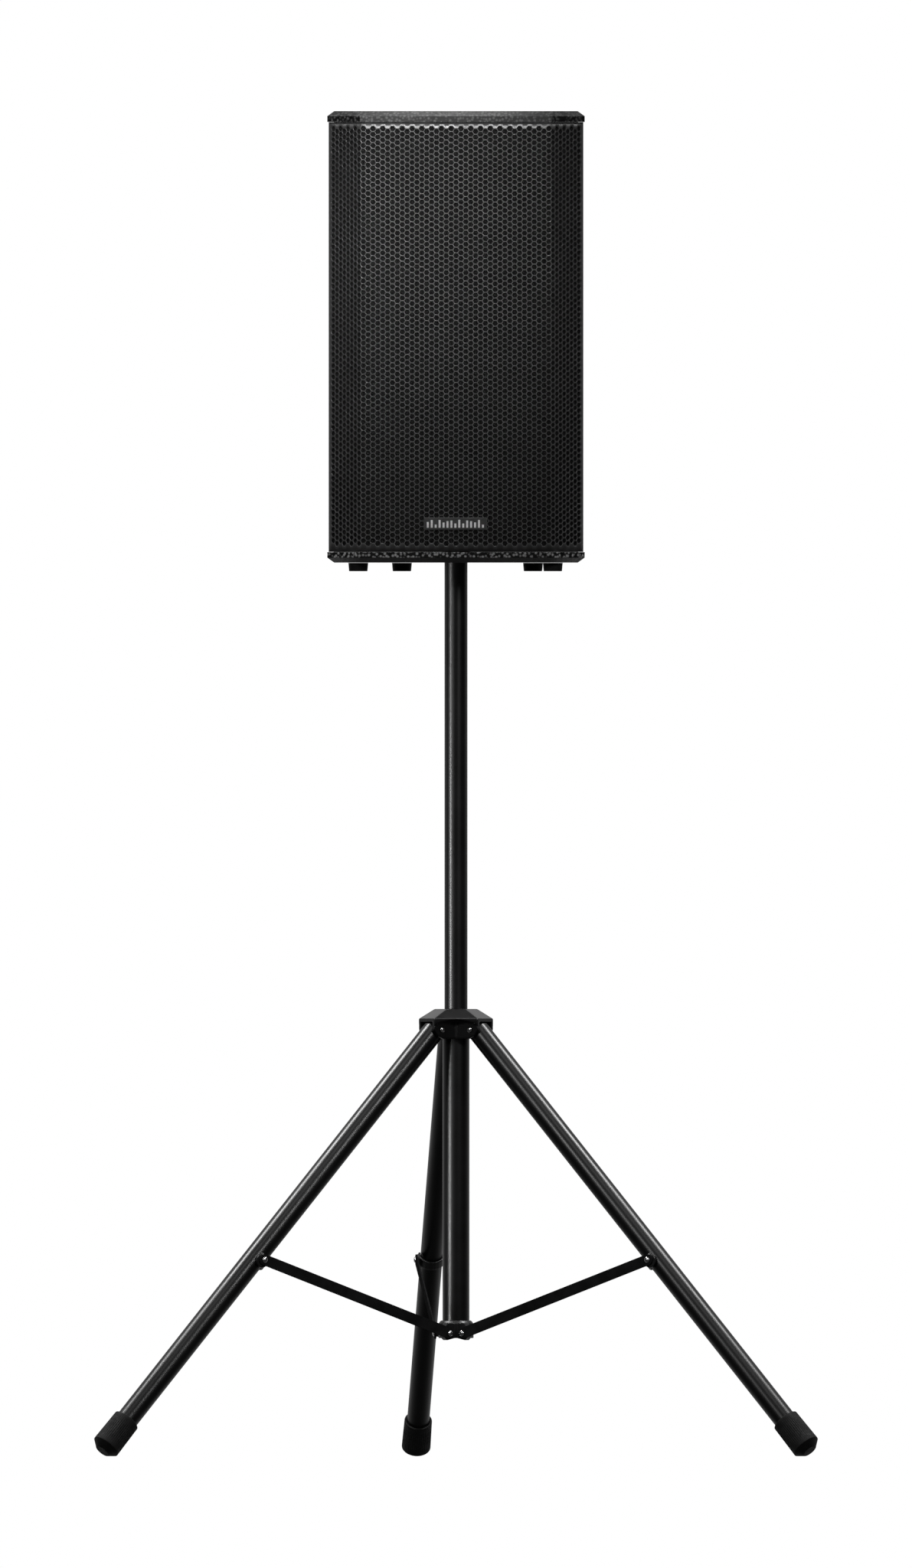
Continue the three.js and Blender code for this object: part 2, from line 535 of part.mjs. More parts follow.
const backMitre = (outer, inner, shift) => [[outer[0] + shift, outer[1]], [inner[0] + shift, inner[1]]];
const [rightOuter, rightInner] = backMitre(PLAN[BACK_RIGHT], INNER_PLAN[BACK_RIGHT], GAP / 2);
const [leftOuter, leftInner] = backMitre(PLAN[BACK_LEFT], INNER_PLAN[BACK_LEFT], -GAP / 2);
addPiece(object, 'right_wall', sideWall(
  [[BODY_HALF_WIDTH, WALL_FRONT], PLAN[SIDE_RIGHT], PLAN[BACK_RIGHT]],
  [INNER_PLAN[BACK_RIGHT], INNER_PLAN[SIDE_RIGHT], [BODY_HALF_WIDTH - WALL, WALL_FRONT]],
  handleFrames.right), TEXTURED_PAINT);
addPiece(object, 'left_wall', sideWall(
  [PLAN[BACK_LEFT], PLAN[SIDE_LEFT], [-BODY_HALF_WIDTH, WALL_FRONT]],
  [[WALL - BODY_HALF_WIDTH, WALL_FRONT], INNER_PLAN[SIDE_LEFT], INNER_PLAN[BACK_LEFT]],
  handleFrames.left), TEXTURED_PAINT);

const AMP = { width: 196, height: 400, bottom: 1402, thickness: 3, overlap: 9 };
const AMP_MIDDLE = AMP.bottom + AMP.height / 2;
addPiece(object, 'rear_wall', cut(
  solid(prism([[rightOuter[0] - 2 * GAP, rightOuter[1]], [leftOuter[0] + 2 * GAP, leftOuter[1]],
    [leftInner[0] + 2 * GAP, leftInner[1]], [rightInner[0] - 2 * GAP, rightInner[1]]],
  WALL_BOTTOM + GAP, WALL_TOP - GAP)),
  solid(slab(roundedRectangle(AMP.width - 2 * AMP.overlap, AMP.height - 2 * AMP.overlap, 6,
    PANEL_X, AMP_MIDDLE), BACK_Y - WALL - 1, BACK_Y + 1)),
), TEXTURED_PAINT);

function sideHandle() {
  const outer = { width: CUP.width + 2 * CUP.wall, height: CUP.height + 2 * CUP.wall };
  const shell = join(
    solid(faceSlab(roundedRectangle(CUP.width + 2 * CUP.flange, CUP.height + 2 * CUP.flange,
      CUP.corner + 8), GAP, CUP.rim)),
    solid(faceSlab(roundedRectangle(outer.width, outer.height, CUP.corner + 1),
      -CUP.depth - CUP.wall, 1)));
  const hollow = solid(faceSlab(roundedRectangle(CUP.width, CUP.height, CUP.corner),
    -CUP.depth, CUP.rim * 2));
  const grip = solid(faceSlab(roundedRectangle(CUP.width + 2, GRIP_BAR.height, GRIP_BAR.corner,
    0, GRIP_BAR.above), -GRIP_BAR.depth, GRIP_BAR.out));
  return join(cut(shell, hollow), grip);
}
for (const [side, frame] of Object.entries(handleFrames)) {
  addPiece(groupAt(object, frame.x, frame.y, HANDLE_HEIGHT, 0, frame.turn),
    `side_handle_${side}`, sideHandle(), BLACK_PLASTIC);
}

// ---------------------------------------------------------------- baffle and drivers

const WOOFER = { frame: 154, opening: 139, cone: 128, depth: 62, magnet: 84 };
const HORN = { width: 286, height: 190, throat: 19, depth: 96 };
const PORT = { radius: 30, x: 138, height: 1423 };
const HORN_LEDGE = 12;               // how far the baffle reaches in behind the horn's plate

addPiece(object, 'front_baffle', cut(
  solid(box(GAP * 2 - BODY_HALF_WIDTH + WALL, BODY_HALF_WIDTH - WALL - GAP * 2,
    BAFFLE_FRONT, BAFFLE_BACK, WALL_BOTTOM + GAP, WALL_TOP - GAP)),
  solid(crossRod(WOOFER.opening + 1, 0, WOOFER_HEIGHT, BAFFLE_FRONT - 1, BAFFLE_BACK + 1, FINE)),
  solid(box(-HORN.width / 2 + HORN_LEDGE, HORN.width / 2 - HORN_LEDGE,
    BAFFLE_FRONT - 1, BAFFLE_BACK + 1,
    HORN_HEIGHT - HORN.height / 2 + HORN_LEDGE, HORN_HEIGHT + HORN.height / 2 - HORN_LEDGE)),
  ...[-1, 1].map((side) => solid(crossRod(PORT.radius, side * PORT.x, PORT.height,
    BAFFLE_FRONT - 1, BAFFLE_BACK + 1, PLAIN))),
), TEXTURED_PAINT);

// pieces of the woofer are turned about its own axis, which runs forwards
const forwards = (profile, sides) => solid(turned(profile, sides).rotateX(Math.PI / 2));
const wooferFrame = groupAt(object, 0, BAFFLE_FRONT - GAP, WOOFER_HEIGHT);
addPiece(wooferFrame, 'woofer_frame', forwards([
  [WOOFER.frame, 0], [WOOFER.frame, 6], [WOOFER.opening - 4, 6], [WOOFER.opening - 4, -4],
  [WOOFER.magnet - 14, -WOOFER.depth - 14], [WOOFER.magnet - 14, -WOOFER.depth - 20],
  [WOOFER.magnet - 9, -WOOFER.depth - 20], [WOOFER.opening, -8], [WOOFER.opening, 0],
  [WOOFER.frame, 0],
], FINE), CAST_BLACK);
addPiece(wooferFrame, 'woofer_cone', forwards([
  [0, -WOOFER.depth + 26], [22, -WOOFER.depth + 22], [38, -WOOFER.depth + 12],
  [WOOFER.cone - 12, -1], [WOOFER.cone - 7, 3], [WOOFER.cone - 1, 5], [WOOFER.opening - 5, 3],
  [WOOFER.opening - 5, 1], [WOOFER.cone - 1, 3], [WOOFER.cone - 9, -1], [WOOFER.cone - 12, -4],
  [38, -WOOFER.depth + 8], [22, -WOOFER.depth + 18], [0, -WOOFER.depth + 22],
], FINE), PAPER_CONE);
addPiece(wooferFrame, 'woofer_magnet', forwards([
  [0, -WOOFER.depth - 20 - GAP], [WOOFER.magnet - 8, -WOOFER.depth - 20 - GAP],
  [WOOFER.magnet, -WOOFER.depth - 28], [WOOFER.magnet, -WOOFER.depth - 60],
  [WOOFER.magnet - 6, -WOOFER.depth - 66], [0, -WOOFER.depth - 66],
], FINE), FERRITE);

// the horn: a rectangular mouth that narrows to the driver's round throat
function hornFlare() {
  const loop = (halfWidth, halfHeight, y, power) => Array.from({ length: PLAIN }, (_, i) => {
    const angle = (i / PLAIN) * Math.PI * 2;
    const [c, s] = [Math.cos(angle), Math.sin(angle)];
    const bulge = (Math.abs(c) ** power + Math.abs(s) ** power) ** (-1 / power);
    return new THREE.Vector3(halfWidth * c * bulge, y, halfHeight * s * bulge);
  });
  const steps = [0, 0.2, 0.4, 0.6, 0.8, 1];
  const [BORDER, WALL_THICKNESS] = [18, 3];
  const flareAt = (t, wall) => loop(
    wall + HORN.throat + (HORN.width / 2 - BORDER - HORN.throat) * t ** 1.6,
    wall + HORN.throat + (HORN.height / 2 - BORDER - HORN.throat) * t ** 1.9,
    HORN.depth * (1 - t), 2 + 6 * t);
  const inside = steps.map((t) => flareAt(t, 0));
  const outside = steps.map((t) => flareAt(t, WALL_THICKNESS)).reverse();
  const loops = [...inside, ...outside];
  const points = loops.flat();
  const triangles = [];
  loops.forEach((_, k) => {
    for (let i = 0; i < PLAIN; i += 1) {
      const [near, far] = [k * PLAIN, ((k + 1) % loops.length) * PLAIN];
      const next = (i + 1) % PLAIN;
      triangles.push(near + i, near + next, far + next, near + i, far + next, far + i);
    }
  });
  const flare = new THREE.BufferGeometry().setFromPoints(points);
  flare.setIndex(triangles);
  const plate = cut(
    solid(slab(roundedRectangle(HORN.width, HORN.height, 10), -5, 0)),
    solid(slab(roundedRectangle(HORN.width - 33, HORN.height - 33, 26), -6, 1)));
  return join(solid(flare), plate);
}
addPiece(groupAt(object, 0, BAFFLE_FRONT - GAP, HORN_HEIGHT), 'horn_flare', hornFlare(),
  BLACK_PLASTIC);
addPiece(groupAt(object, 0, BAFFLE_FRONT + HORN.depth, HORN_HEIGHT), 'compression_driver',
  forwards([[0, 0], [38, 0], [42, -6], [42, -38], [34, -46], [0, -46]], PLAIN), FERRITE);

// ---------------------------------------------------------------- grille, foam and badge

// a sheet bent round the front and its two facets, between two distances inside the plan
function bentSheet(outer, inner) {
  const order = [FACET_LEFT, FRONT_LEFT, FRONT_RIGHT, FACET_RIGHT];
  const outside = offsetOutline(PLAN, -outer);
  const inside = offsetOutline(PLAN, -inner);
  const plan = [...order.map((i) => outside[i]), ...order.reverse().map((i) => inside[i])];
  return cut(solid(prism(plan, WALL_BOTTOM + GAP, WALL_TOP - GAP)),
    solid(box(-BODY_HALF_WIDTH * 2, BODY_HALF_WIDTH * 2, WALL_FRONT - GAP, 0, 0, CABINET_TOP)));
}
addPiece(object, 'grille', bentSheet(0, GRILLE_SHEET), GRILLE_PAINT);
addPiece(object, 'grille_foam', bentSheet(GRILLE_SHEET + GAP, GRILLE_SHEET + GAP + FOAM),
  FOAM_BLACK);
const BADGE = { width: 96, height: 19, corner: 1.2, x: -1, z: 1421, thickness: 2.2 };
addPiece(object, 'badge_plate', solid(slab(
  roundedRectangle(BADGE.width, BADGE.height, BADGE.corner, BADGE.x, BADGE.z),
  FRONT_Y - GAP - BADGE.thickness, FRONT_Y - GAP)), BLACK_PLASTIC);

// ---------------------------------------------------------------- feet and pole socket

const CABINET_FEET = [[-148.9, -135], [147.5, -135], [117.3, 150], [-82.4, 150]];
const CABINET_FOOT = { height: 12.8, top: 15.1, bottom: 14 };
CABINET_FEET.forEach(([x, y], i) => {
  addPiece(groupAt(object, x, y, CABINET_BOTTOM - GAP), `cabinet_foot_${i + 1}`,
    solid(turned([[0, -CABINET_FOOT.height], [CABINET_FOOT.bottom, -CABINET_FOOT.height],
      [CABINET_FOOT.top, 0], [0, 0]], PLAIN)), RUBBER);
});

const SOCKET_ROOF = POLE_TOP + GAP;
const SOCKET_MOUTH = CABINET_BOTTOM + 0.5;
const SOCKET_FLANGE = { radius: 42, thickness: 4 };
const FLANGE_TOP = WALL_BOTTOM + SOCKET_FLANGE.thickness;
const SOCKET_TOP = SOCKET_ROOF + SOCKET_FLANGE.thickness;
addPiece(object, 'pole_socket', solid(turned([
  [SOCKET_RADIUS, SOCKET_MOUTH], [SOCKET_OUTER, SOCKET_MOUTH], [SOCKET_OUTER, WALL_BOTTOM + GAP],
  [SOCKET_FLANGE.radius, WALL_BOTTOM + GAP], [SOCKET_FLANGE.radius, FLANGE_TOP],
  [SOCKET_OUTER, FLANGE_TOP], [SOCKET_OUTER, SOCKET_TOP], [0, SOCKET_TOP],
  [0, SOCKET_ROOF], [SOCKET_RADIUS, SOCKET_ROOF], [SOCKET_RADIUS, SOCKET_MOUTH],
], FINE)), CAST_BLACK);

// ---------------------------------------------------------------- amplifier and its controls

const PLATE_BACK = BACK_Y + GAP + AMP.thickness;
const CONTROL_PITCH = 56;
const [SOCKET_ROW, KNOB_ROW, MAINS_ROW] = [1548, 1502, 1448];
const CONTROLS = {
  inputs: [[PANEL_X - CONTROL_PITCH, SOCKET_ROW], [PANEL_X, SOCKET_ROW]],
  link: [PANEL_X + CONTROL_PITCH, SOCKET_ROW],
  knobs: [[PANEL_X - CONTROL_PITCH, KNOB_ROW], [PANEL_X, KNOB_ROW]],
  menu: [PANEL_X + CONTROL_PITCH, KNOB_ROW],
  mains: [PANEL_X - 52, MAINS_ROW],
  rocker: [PANEL_X + 4, MAINS_ROW],
};
const SOCKET_BARREL = 11.8;
const MAINS = { width: 27, height: 20 };
const ROCKER = { width: 13, height: 19, tilt: THREE.MathUtils.degToRad(-8) };
const SHAFT = 3;

addPiece(object, 'amplifier_plate', cut(
  solid(slab(roundedRectangle(AMP.width, AMP.height, 6, PANEL_X, AMP_MIDDLE), BACK_Y + GAP,
    PLATE_BACK)),
  ...[...CONTROLS.inputs, CONTROLS.link].map(([x, z]) => solid(
    crossRod(SOCKET_BARREL + GAP, x, z, BACK_Y - 1, PLATE_BACK + 1, PLAIN))),
  ...[...CONTROLS.knobs, CONTROLS.menu].map(([x, z]) => solid(
    crossRod(SHAFT + GAP, x, z, BACK_Y - 1, PLATE_BACK + 1, COARSE))),
  solid(slab(roundedRectangle(MAINS.width + 2 * GAP, MAINS.height + 2 * GAP, 2, ...CONTROLS.mains),
    BACK_Y - 1, PLATE_BACK + 1)),
  solid(slab(roundedRectangle(ROCKER.width + 1.6, ROCKER.height + 1.6, 1, ...CONTROLS.rocker),
    BACK_Y - 1, PLATE_BACK + 1)),
), ALUMINIUM);

// the heat sink is one comb, drawn in plan and raised
function heatSink() {
  const [FINS, FIN, PITCH, BASE, DEPTH] = [15, 2.4, 10.4, 4, 15];
  const [BOTTOM, TOP] = [1600, 1782];
  const left = PANEL_X - ((FINS - 1) * PITCH + FIN) / 2;
  const start = PLATE_BACK + GAP;
  const comb = [[left, start], [left + (FINS - 1) * PITCH + FIN, start]];
  for (let i = FINS - 1; i >= 0; i -= 1) {
    const x = left + i * PITCH;
    comb.push([x + FIN, start + DEPTH], [x, start + DEPTH]);
    if (i > 0) comb.push([x, start + BASE], [x - PITCH + FIN, start + BASE]);
  }
  return solid(prism(comb, BOTTOM, TOP));
}
addPiece(object, 'heat_sink', heatSink(), ALUMINIUM);

// one solid stands for the board with its transformer, heat spreader and four capacitors
const BOARD = { halfWidth: 80, front: 150, back: 152, bottom: 1430, top: 1770 };
const BOARD_FACE = (BOARD.front + BOARD.back) / 2;
const TRANSFORMER = [PANEL_X - 60, PANEL_X - 10, 110, BOARD_FACE, 1640, 1700];
const SPREADER = [PANEL_X + 20, PANEL_X + 50, 125, BOARD_FACE, 1600, 1730];
const CAPACITOR = { radius: 12, end: 112 };
const CAPACITORS = [[-50, 1480], [-20, 1480], [-50, 1520], [-20, 1520]];
addPiece(object, 'amplifier_board', join(
  solid(box(PANEL_X - BOARD.halfWidth, PANEL_X + BOARD.halfWidth, BOARD.front, BOARD.back,
    BOARD.bottom, BOARD.top)),
  solid(box(...TRANSFORMER)),
  solid(box(...SPREADER)),
  ...CAPACITORS.map(([x, z]) => solid(
    crossRod(CAPACITOR.radius, PANEL_X + x, z, CAPACITOR.end, BOARD_FACE, COARSE))),
), CIRCUIT_GREEN);

// a round connector: flange outside the plate, barrel through it, bore for the plug
function roundSocket(bore) {
  const [FLANGE, FLANGE_FRONT, BORE_END, END] = [14.5, 3, -22, -26];
  return forwards([
    [bore, FLANGE_FRONT], [FLANGE, FLANGE_FRONT], [FLANGE, GAP], [SOCKET_BARREL, GAP],
    [SOCKET_BARREL, END], [0, END], [0, BORE_END], [bore, BORE_END], [bore, FLANGE_FRONT],
  ], PLAIN);
}
const [INPUT_BORE, LINK_BORE] = [8.6, 9.4];
[...CONTROLS.inputs, CONTROLS.link].forEach(([x, z], i) => {
  const name = i < 2 ? `input_socket_${i + 1}` : 'link_socket';
  const frame = groupAt(object, x, PLATE_BACK, z, 0, Math.PI);
  addPiece(frame, name, roundSocket(i < 2 ? INPUT_BORE : LINK_BORE), BLACK_PLASTIC);
});

function mainsInlet() {
  const flange = solid(slab(roundedRectangle(MAINS.width + 8, MAINS.height + 6, 3), GAP, 2.6));
  const body = solid(slab(roundedRectangle(MAINS.width, MAINS.height, 2), -22, 1));
  const hollow = solid(slab(roundedRectangle(MAINS.width - 4.5, MAINS.height - 5, 2), -17, 4));
  return cut(join(flange, body), hollow);
}
addPiece(groupAt(object, CONTROLS.mains[0], PLATE_BACK, CONTROLS.mains[1]), 'mains_inlet',
  mainsInlet(), BLACK_PLASTIC);

// a rocker whose two faces meet in a shallow valley; it turns about a bar across its back
function rockerSwitch() {
  const half = ROCKER.height / 2;
  const profile = [[-6, -half + 1.5], [1.2, -half], [3.6, -half], [1.6, 0], [3.6, half],
    [1.2, half], [-6, half - 1.5]];
  return solid(new THREE.ExtrudeGeometry(shapeOf(profile),
    { depth: ROCKER.width, bevelEnabled: false })
    .translate(0, 0, -ROCKER.width / 2).rotateX(Math.PI / 2).rotateZ(Math.PI / 2)
    .rotateX(ROCKER.tilt));
}
addPiece(groupAt(object, CONTROLS.rocker[0], PLATE_BACK, CONTROLS.rocker[1]), 'power_switch',
  rockerSwitch(), BLACK_PLASTIC);

function controlKnob(radius, length) {
  return join(
    forwards([[0, 0.6], [radius, 0.6], [radius - 0.6, length - 1], [radius - 1.6, length],
      [0, length]], PLAIN),
    forwards([[0, -12], [SHAFT, -12], [SHAFT, 2], [0, 2]], COARSE));
}
[...CONTROLS.knobs, CONTROLS.menu].forEach(([x, z], i) => {
  const name = i < 2 ? `level_knob_${i + 1}` : 'menu_knob';
  const frame = groupAt(object, x, PLATE_BACK, z, 0, Math.PI);
  addPiece(frame, name, controlKnob(i < 2 ? 8 : 10, i < 2 ? 13 : 11), BLACK_PLASTIC);
});

// ---------------------------------------------------------------- origin

// the middle of the footprint, on the floor
const bounds = new THREE.Box3().setFromObject(object, true);
const middle = bounds.getCenter(new THREE.Vector3());
object.position.set(-middle.x, -middle.y, -bounds.min.z);

export default object;
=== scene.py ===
"""The looks of a PA speaker on its tripod stand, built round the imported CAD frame.

Metres, +Z up. The speaker faces -Y, and the column of the stand runs along Z.
"""

import json
import math

import bmesh
import bpy
from mathutils import Matrix, Vector, noise


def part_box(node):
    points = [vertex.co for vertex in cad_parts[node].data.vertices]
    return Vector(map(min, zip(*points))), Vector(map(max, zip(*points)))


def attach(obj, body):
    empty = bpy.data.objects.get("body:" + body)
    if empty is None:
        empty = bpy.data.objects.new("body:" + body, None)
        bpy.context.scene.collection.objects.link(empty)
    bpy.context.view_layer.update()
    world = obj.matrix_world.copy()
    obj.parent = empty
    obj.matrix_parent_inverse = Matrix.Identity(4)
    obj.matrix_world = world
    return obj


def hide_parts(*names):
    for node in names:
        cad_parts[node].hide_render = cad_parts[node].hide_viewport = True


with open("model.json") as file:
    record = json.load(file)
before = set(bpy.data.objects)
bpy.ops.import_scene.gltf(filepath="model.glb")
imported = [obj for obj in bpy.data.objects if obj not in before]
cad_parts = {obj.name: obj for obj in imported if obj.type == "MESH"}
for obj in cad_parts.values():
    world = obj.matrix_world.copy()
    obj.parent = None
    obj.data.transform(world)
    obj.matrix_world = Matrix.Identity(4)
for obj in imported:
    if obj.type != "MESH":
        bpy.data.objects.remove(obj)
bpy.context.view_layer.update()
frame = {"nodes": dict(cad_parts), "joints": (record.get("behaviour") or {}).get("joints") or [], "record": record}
NODES = frame["nodes"]
JOINTS = {joint["name"]: joint for joint in frame["joints"]}
MM = 0.001

# ---------------------------------------------------------------- sizes, from the frame where it has them

COLUMN_LOW, COLUMN_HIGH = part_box("column_tube")
POLE_LOW, POLE_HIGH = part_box("pole_tube")
AXIS = Vector(((POLE_LOW.x + POLE_HIGH.x) / 2, (POLE_LOW.y + POLE_HIGH.y) / 2, 0))
POLE_RADIUS = (POLE_HIGH.x - POLE_LOW.x) / 2
TUBE_WALL = 1.8 * MM

LEG_TILT = math.radians(42.3)
LEG_RADIUS = 17 * MM
LEG_START = 1.5 * MM  # top of the leg tube, along the leg from its hinge
FOOT_RADIUS = 22 * MM
FOOT_TOP_RADIUS = 21 * MM
FOOT_TIP_RADIUS = 11.5 * MM
FOOT_LENGTH = 54 * MM
LEG_SHORT_OF_EDGE = 4 * MM
YOKE_HALF_WIDTH = 24 * MM
HUB_HALF_WIDTH = 22 * MM
STRUT_THICKNESS = 2.3 * MM
STRUT_SIDES = (1, -1, 1)
STRUT_ALONG_LEG = 469.6 * MM
STRUT_INSIDE_AXIS = 5 * MM
GAP = 0.3 * MM

GRILLE_LOW, GRILLE_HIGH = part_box("grille")
FRONT_HALF_WIDTH = 145.7 * MM  # the grille is flat to here, then bends back
FACET_DEPTH = 43 * MM
BEND_RADIUS = 6 * MM
FACET_ANGLE = math.atan2(FACET_DEPTH, GRILLE_HIGH.x - FRONT_HALF_WIDTH)
BEND_TANGENT = BEND_RADIUS * math.tan(FACET_ANGLE / 2)
BEND_START = FRONT_HALF_WIDTH - BEND_TANGENT
BEND_END = BEND_START + BEND_RADIUS * FACET_ANGLE
FACET_LENGTH = math.hypot(FACET_DEPTH, GRILLE_HIGH.x - FRONT_HALF_WIDTH)
SHEET_HALF = BEND_END + FACET_LENGTH - BEND_TANGENT

PLATE_LOW, PLATE_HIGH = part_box("amplifier_plate")

# ---------------------------------------------------------------- materials


class Finish:
    """A material under construction: its node tree, its surface shader and the textures it shares."""

    def __init__(self, name, color, roughness, metallic=0.0, specular=0.5):
        self.material = bpy.data.materials.new(name)
        self.material.use_nodes = True
        self.tree = self.material.node_tree
        self.surface = self.tree.nodes["Principled BSDF"]
        self.surface.inputs["Base Color"].default_value = (*color, 1)
        self.surface.inputs["Roughness"].default_value = roughness
        self.surface.inputs["Metallic"].default_value = metallic
        self.surface.inputs["Specular IOR Level"].default_value = specular
        self.coords = self.tree.nodes.new("ShaderNodeTexCoord").outputs["Object"]

    def grain(self, size, detail=2.0, stretch=(1, 1, 1)):
        """Noise whose features are about that size, from 0 to 1."""
        mapping = self.tree.nodes.new("ShaderNodeMapping")
        mapping.inputs["Scale"].default_value = stretch
        texture = self.tree.nodes.new("ShaderNodeTexNoise")
        texture.inputs["Scale"].default_value = 1 / size
        texture.inputs["Detail"].default_value = detail
        self.tree.links.new(self.coords, mapping.inputs["Vector"])
        self.tree.links.new(mapping.outputs["Vector"], texture.inputs["Vector"])
        return texture.outputs["Fac"]

    def cells(self, size, feature="F1"):
        """Distance to the nearest of scattered points that are about that far apart."""
        texture = self.tree.nodes.new("ShaderNodeTexVoronoi")
        texture.feature = feature
        texture.inputs["Scale"].default_value = 1 / size
        self.tree.links.new(self.coords, texture.inputs["Vector"])
        return texture.outputs["Distance"]

    def spread(self, source, low, high, start=0.35, end=0.65):
        node = self.tree.nodes.new("ShaderNodeMapRange")
        node.inputs["From Min"].default_value = start
        node.inputs["From Max"].default_value = end
        node.inputs["To Min"].default_value = low
        node.inputs["To Max"].default_value = high
        self.tree.links.new(source, node.inputs["Value"])
        return node.outputs["Result"]

    def vary_roughness(self, source, low, high):
        self.tree.links.new(self.spread(source, low, high), self.surface.inputs["Roughness"])
        return self

    def vary_color(self, source, dark, light, start=0.35, end=0.65):
        mix = self.tree.nodes.new("ShaderNodeMix")
        mix.data_type = "RGBA"
        mix.inputs["A"].default_value = (*dark, 1)
        mix.inputs["B"].default_value = (*light, 1)
        self.tree.links.new(self.spread(source, 0, 1, start, end), mix.inputs["Factor"])
        self.tree.links.new(mix.outputs["Result"], self.surface.inputs["Base Color"])
        return self

    def paint_shade_below(self, shade, start, end):
        """Paints shade: fades the colour to a dark shade on faces that look down, between those values of the
        normal's Z.
        """
        split = self.tree.nodes.new("ShaderNodeSeparateXYZ")
        geometry = self.tree.nodes.new("ShaderNodeNewGeometry")
        mix = self.tree.nodes.new("ShaderNodeMix")
        mix.data_type = "RGBA"
        color = self.surface.inputs["Base Color"]
        self.tree.links.new(geometry.outputs["Normal"], split.inputs["Vector"])
        self.tree.links.new(self.spread(split.outputs["Z"], 0, 1, start, end), mix.inputs["Factor"])
        mix.inputs["A"].default_value = (*shade, 1)
        self.tree.links.new(color.links[0].from_socket, mix.inputs["B"])
        self.tree.links.new(mix.outputs["Result"], color)
        return self

    def add_bump(self, height, distance, strength=1.0):
        node = self.tree.nodes.new("ShaderNodeBump")
        node.inputs["Distance"].default_value = distance
        node.inputs["Strength"].default_value = strength
        self.tree.links.new(height, node.inputs["Height"])
        normal = self.surface.inputs["Normal"]
        if normal.links:
            self.tree.links.new(normal.links[0].from_socket, node.inputs["Normal"])
        self.tree.links.new(node.outputs["Normal"], normal)
        return self


def grey(value, blue=0.0):
    return (value, value, value + blue)


def powder_coat():
    finish = Finish("powder_coat", grey(0.003), 0.33, specular=0.45)
    finish.vary_roughness(finish.grain(90 * MM), 0.31, 0.35)
    finish.vary_color(finish.grain(18 * MM), grey(0.0025), grey(0.004, 0.0003))
    finish.add_bump(finish.grain(1.2 * MM), 0.0006 * MM, 0.3)
    return finish.material


def cast_black():
    finish = Finish("cast_black", grey(0.004), 0.36, specular=0.5)
    finish.vary_roughness(finish.grain(9 * MM), 0.32, 0.42)
    finish.vary_color(finish.grain(14 * MM), grey(0.003), grey(0.006, 0.0004))
    finish.add_bump(finish.grain(1.8 * MM, 3), 0.03 * MM, 0.5)
    return finish.material


def strut_coat_painted_sheen():
    """The same coat on the flat struts, where it looks duller: a paler colour with no gloss, as painted sheen in
    place of its reflections.
    """
    # painted sheen: a paler grey than the powder coat stands in for the coat's reflections
    finish = Finish("strut_coat_painted_sheen", grey(0.012), 0.6, specular=0.0)
    finish.vary_roughness(finish.grain(30 * MM), 0.45, 0.55)
    finish.vary_color(finish.grain(18 * MM), grey(0.01), grey(0.015, 0.0003))
    finish.add_bump(finish.grain(2 * MM), 0.02 * MM, 0.5)
    return finish.material


def coarse_paint(name, pale, gloss):
    """Scattered raised grains, painted paler than what lies between them as painted glints."""
    finish = Finish(name, grey(pale / 2), 0.42, specular=gloss)
    finish.vary_roughness(finish.grain(3 * MM), 0.3, 0.5)
    # painted glints: the raised grains are painted pale, and the paint between them near black
    finish.vary_color(finish.cells(5 * MM), grey(pale), grey(0.0005), 0.2, 0.55)
    finish.add_bump(finish.cells(5 * MM), 2.0 * MM, -1.0)
    return finish


def textured_paint():
    return coarse_paint("textured_paint", 0.053, 0.35).material


def worn_paint():
    """The lower panel's paint with painted light and shade: a paler copy of the panel paint as painted light where
    it faces out, and painted shade, black, on faces that look down.
    """
    # painted light: grains paler than the top panel's; painted shade: black on faces that look down
    return coarse_paint("worn_paint", 0.23, 0.2).paint_shade_below(grey(0.001), -0.5, -0.2).material


def grille_paint():
    finish = Finish("grille_paint", grey(0.02), 0.42, specular=0.7)
    finish.vary_roughness(finish.grain(25 * MM), 0.38, 0.46)
    finish.vary_color(finish.grain(50 * MM), grey(0.018), grey(0.024))
    finish.add_bump(finish.grain(0.9 * MM), 0.015 * MM, 0.5)
    return finish.material


def foam():
    finish = Finish("foam", grey(0.009), 1.0, specular=0.1)
    finish.vary_color(finish.cells(1.4 * MM), grey(0.02), grey(0.004), 0.15, 0.6)
    finish.add_bump(finish.cells(1.2 * MM), 0.9 * MM)
    return finish.material


def rubber():
    finish = Finish("rubber", grey(0.007), 0.66, specular=0.25)
    finish.vary_roughness(finish.grain(5 * MM), 0.6, 0.72)
    finish.vary_color(finish.grain(11 * MM, 4), grey(0.005), grey(0.009))
    finish.add_bump(finish.grain(0.9 * MM, 3), 0.1 * MM, 0.6)
    return finish.material


def bright_steel():
    finish = Finish("bright_steel", grey(0.72), 0.22, metallic=1.0)
    finish.vary_roughness(finish.grain(1.5 * MM), 0.16, 0.3)
    finish.vary_color(finish.grain(4 * MM), grey(0.66), grey(0.78))
    finish.add_bump(finish.grain(1.2 * MM), 0.002 * MM, 0.5)
    return finish.material


def silver_print():
    """Pale print that reads as light grey from any side."""
    finish = Finish("silver_print", grey(0.62), 0.35)
    finish.vary_roughness(finish.grain(2 * MM), 0.3, 0.4)
    finish.vary_color(finish.grain(3 * MM), grey(0.58), grey(0.68))
    finish.add_bump(finish.grain(1.2 * MM), 0.003 * MM, 0.5)
    return finish.material


def black_plastic():
    finish = Finish("black_plastic", grey(0.010), 0.45, specular=0.45)
    finish.vary_roughness(finish.grain(8 * MM), 0.38, 0.52)
    finish.vary_color(finish.grain(20 * MM), grey(0.009), grey(0.013))
    finish.add_bump(finish.grain(0.6 * MM, 3), 0.06 * MM, 0.6)
    return finish.material


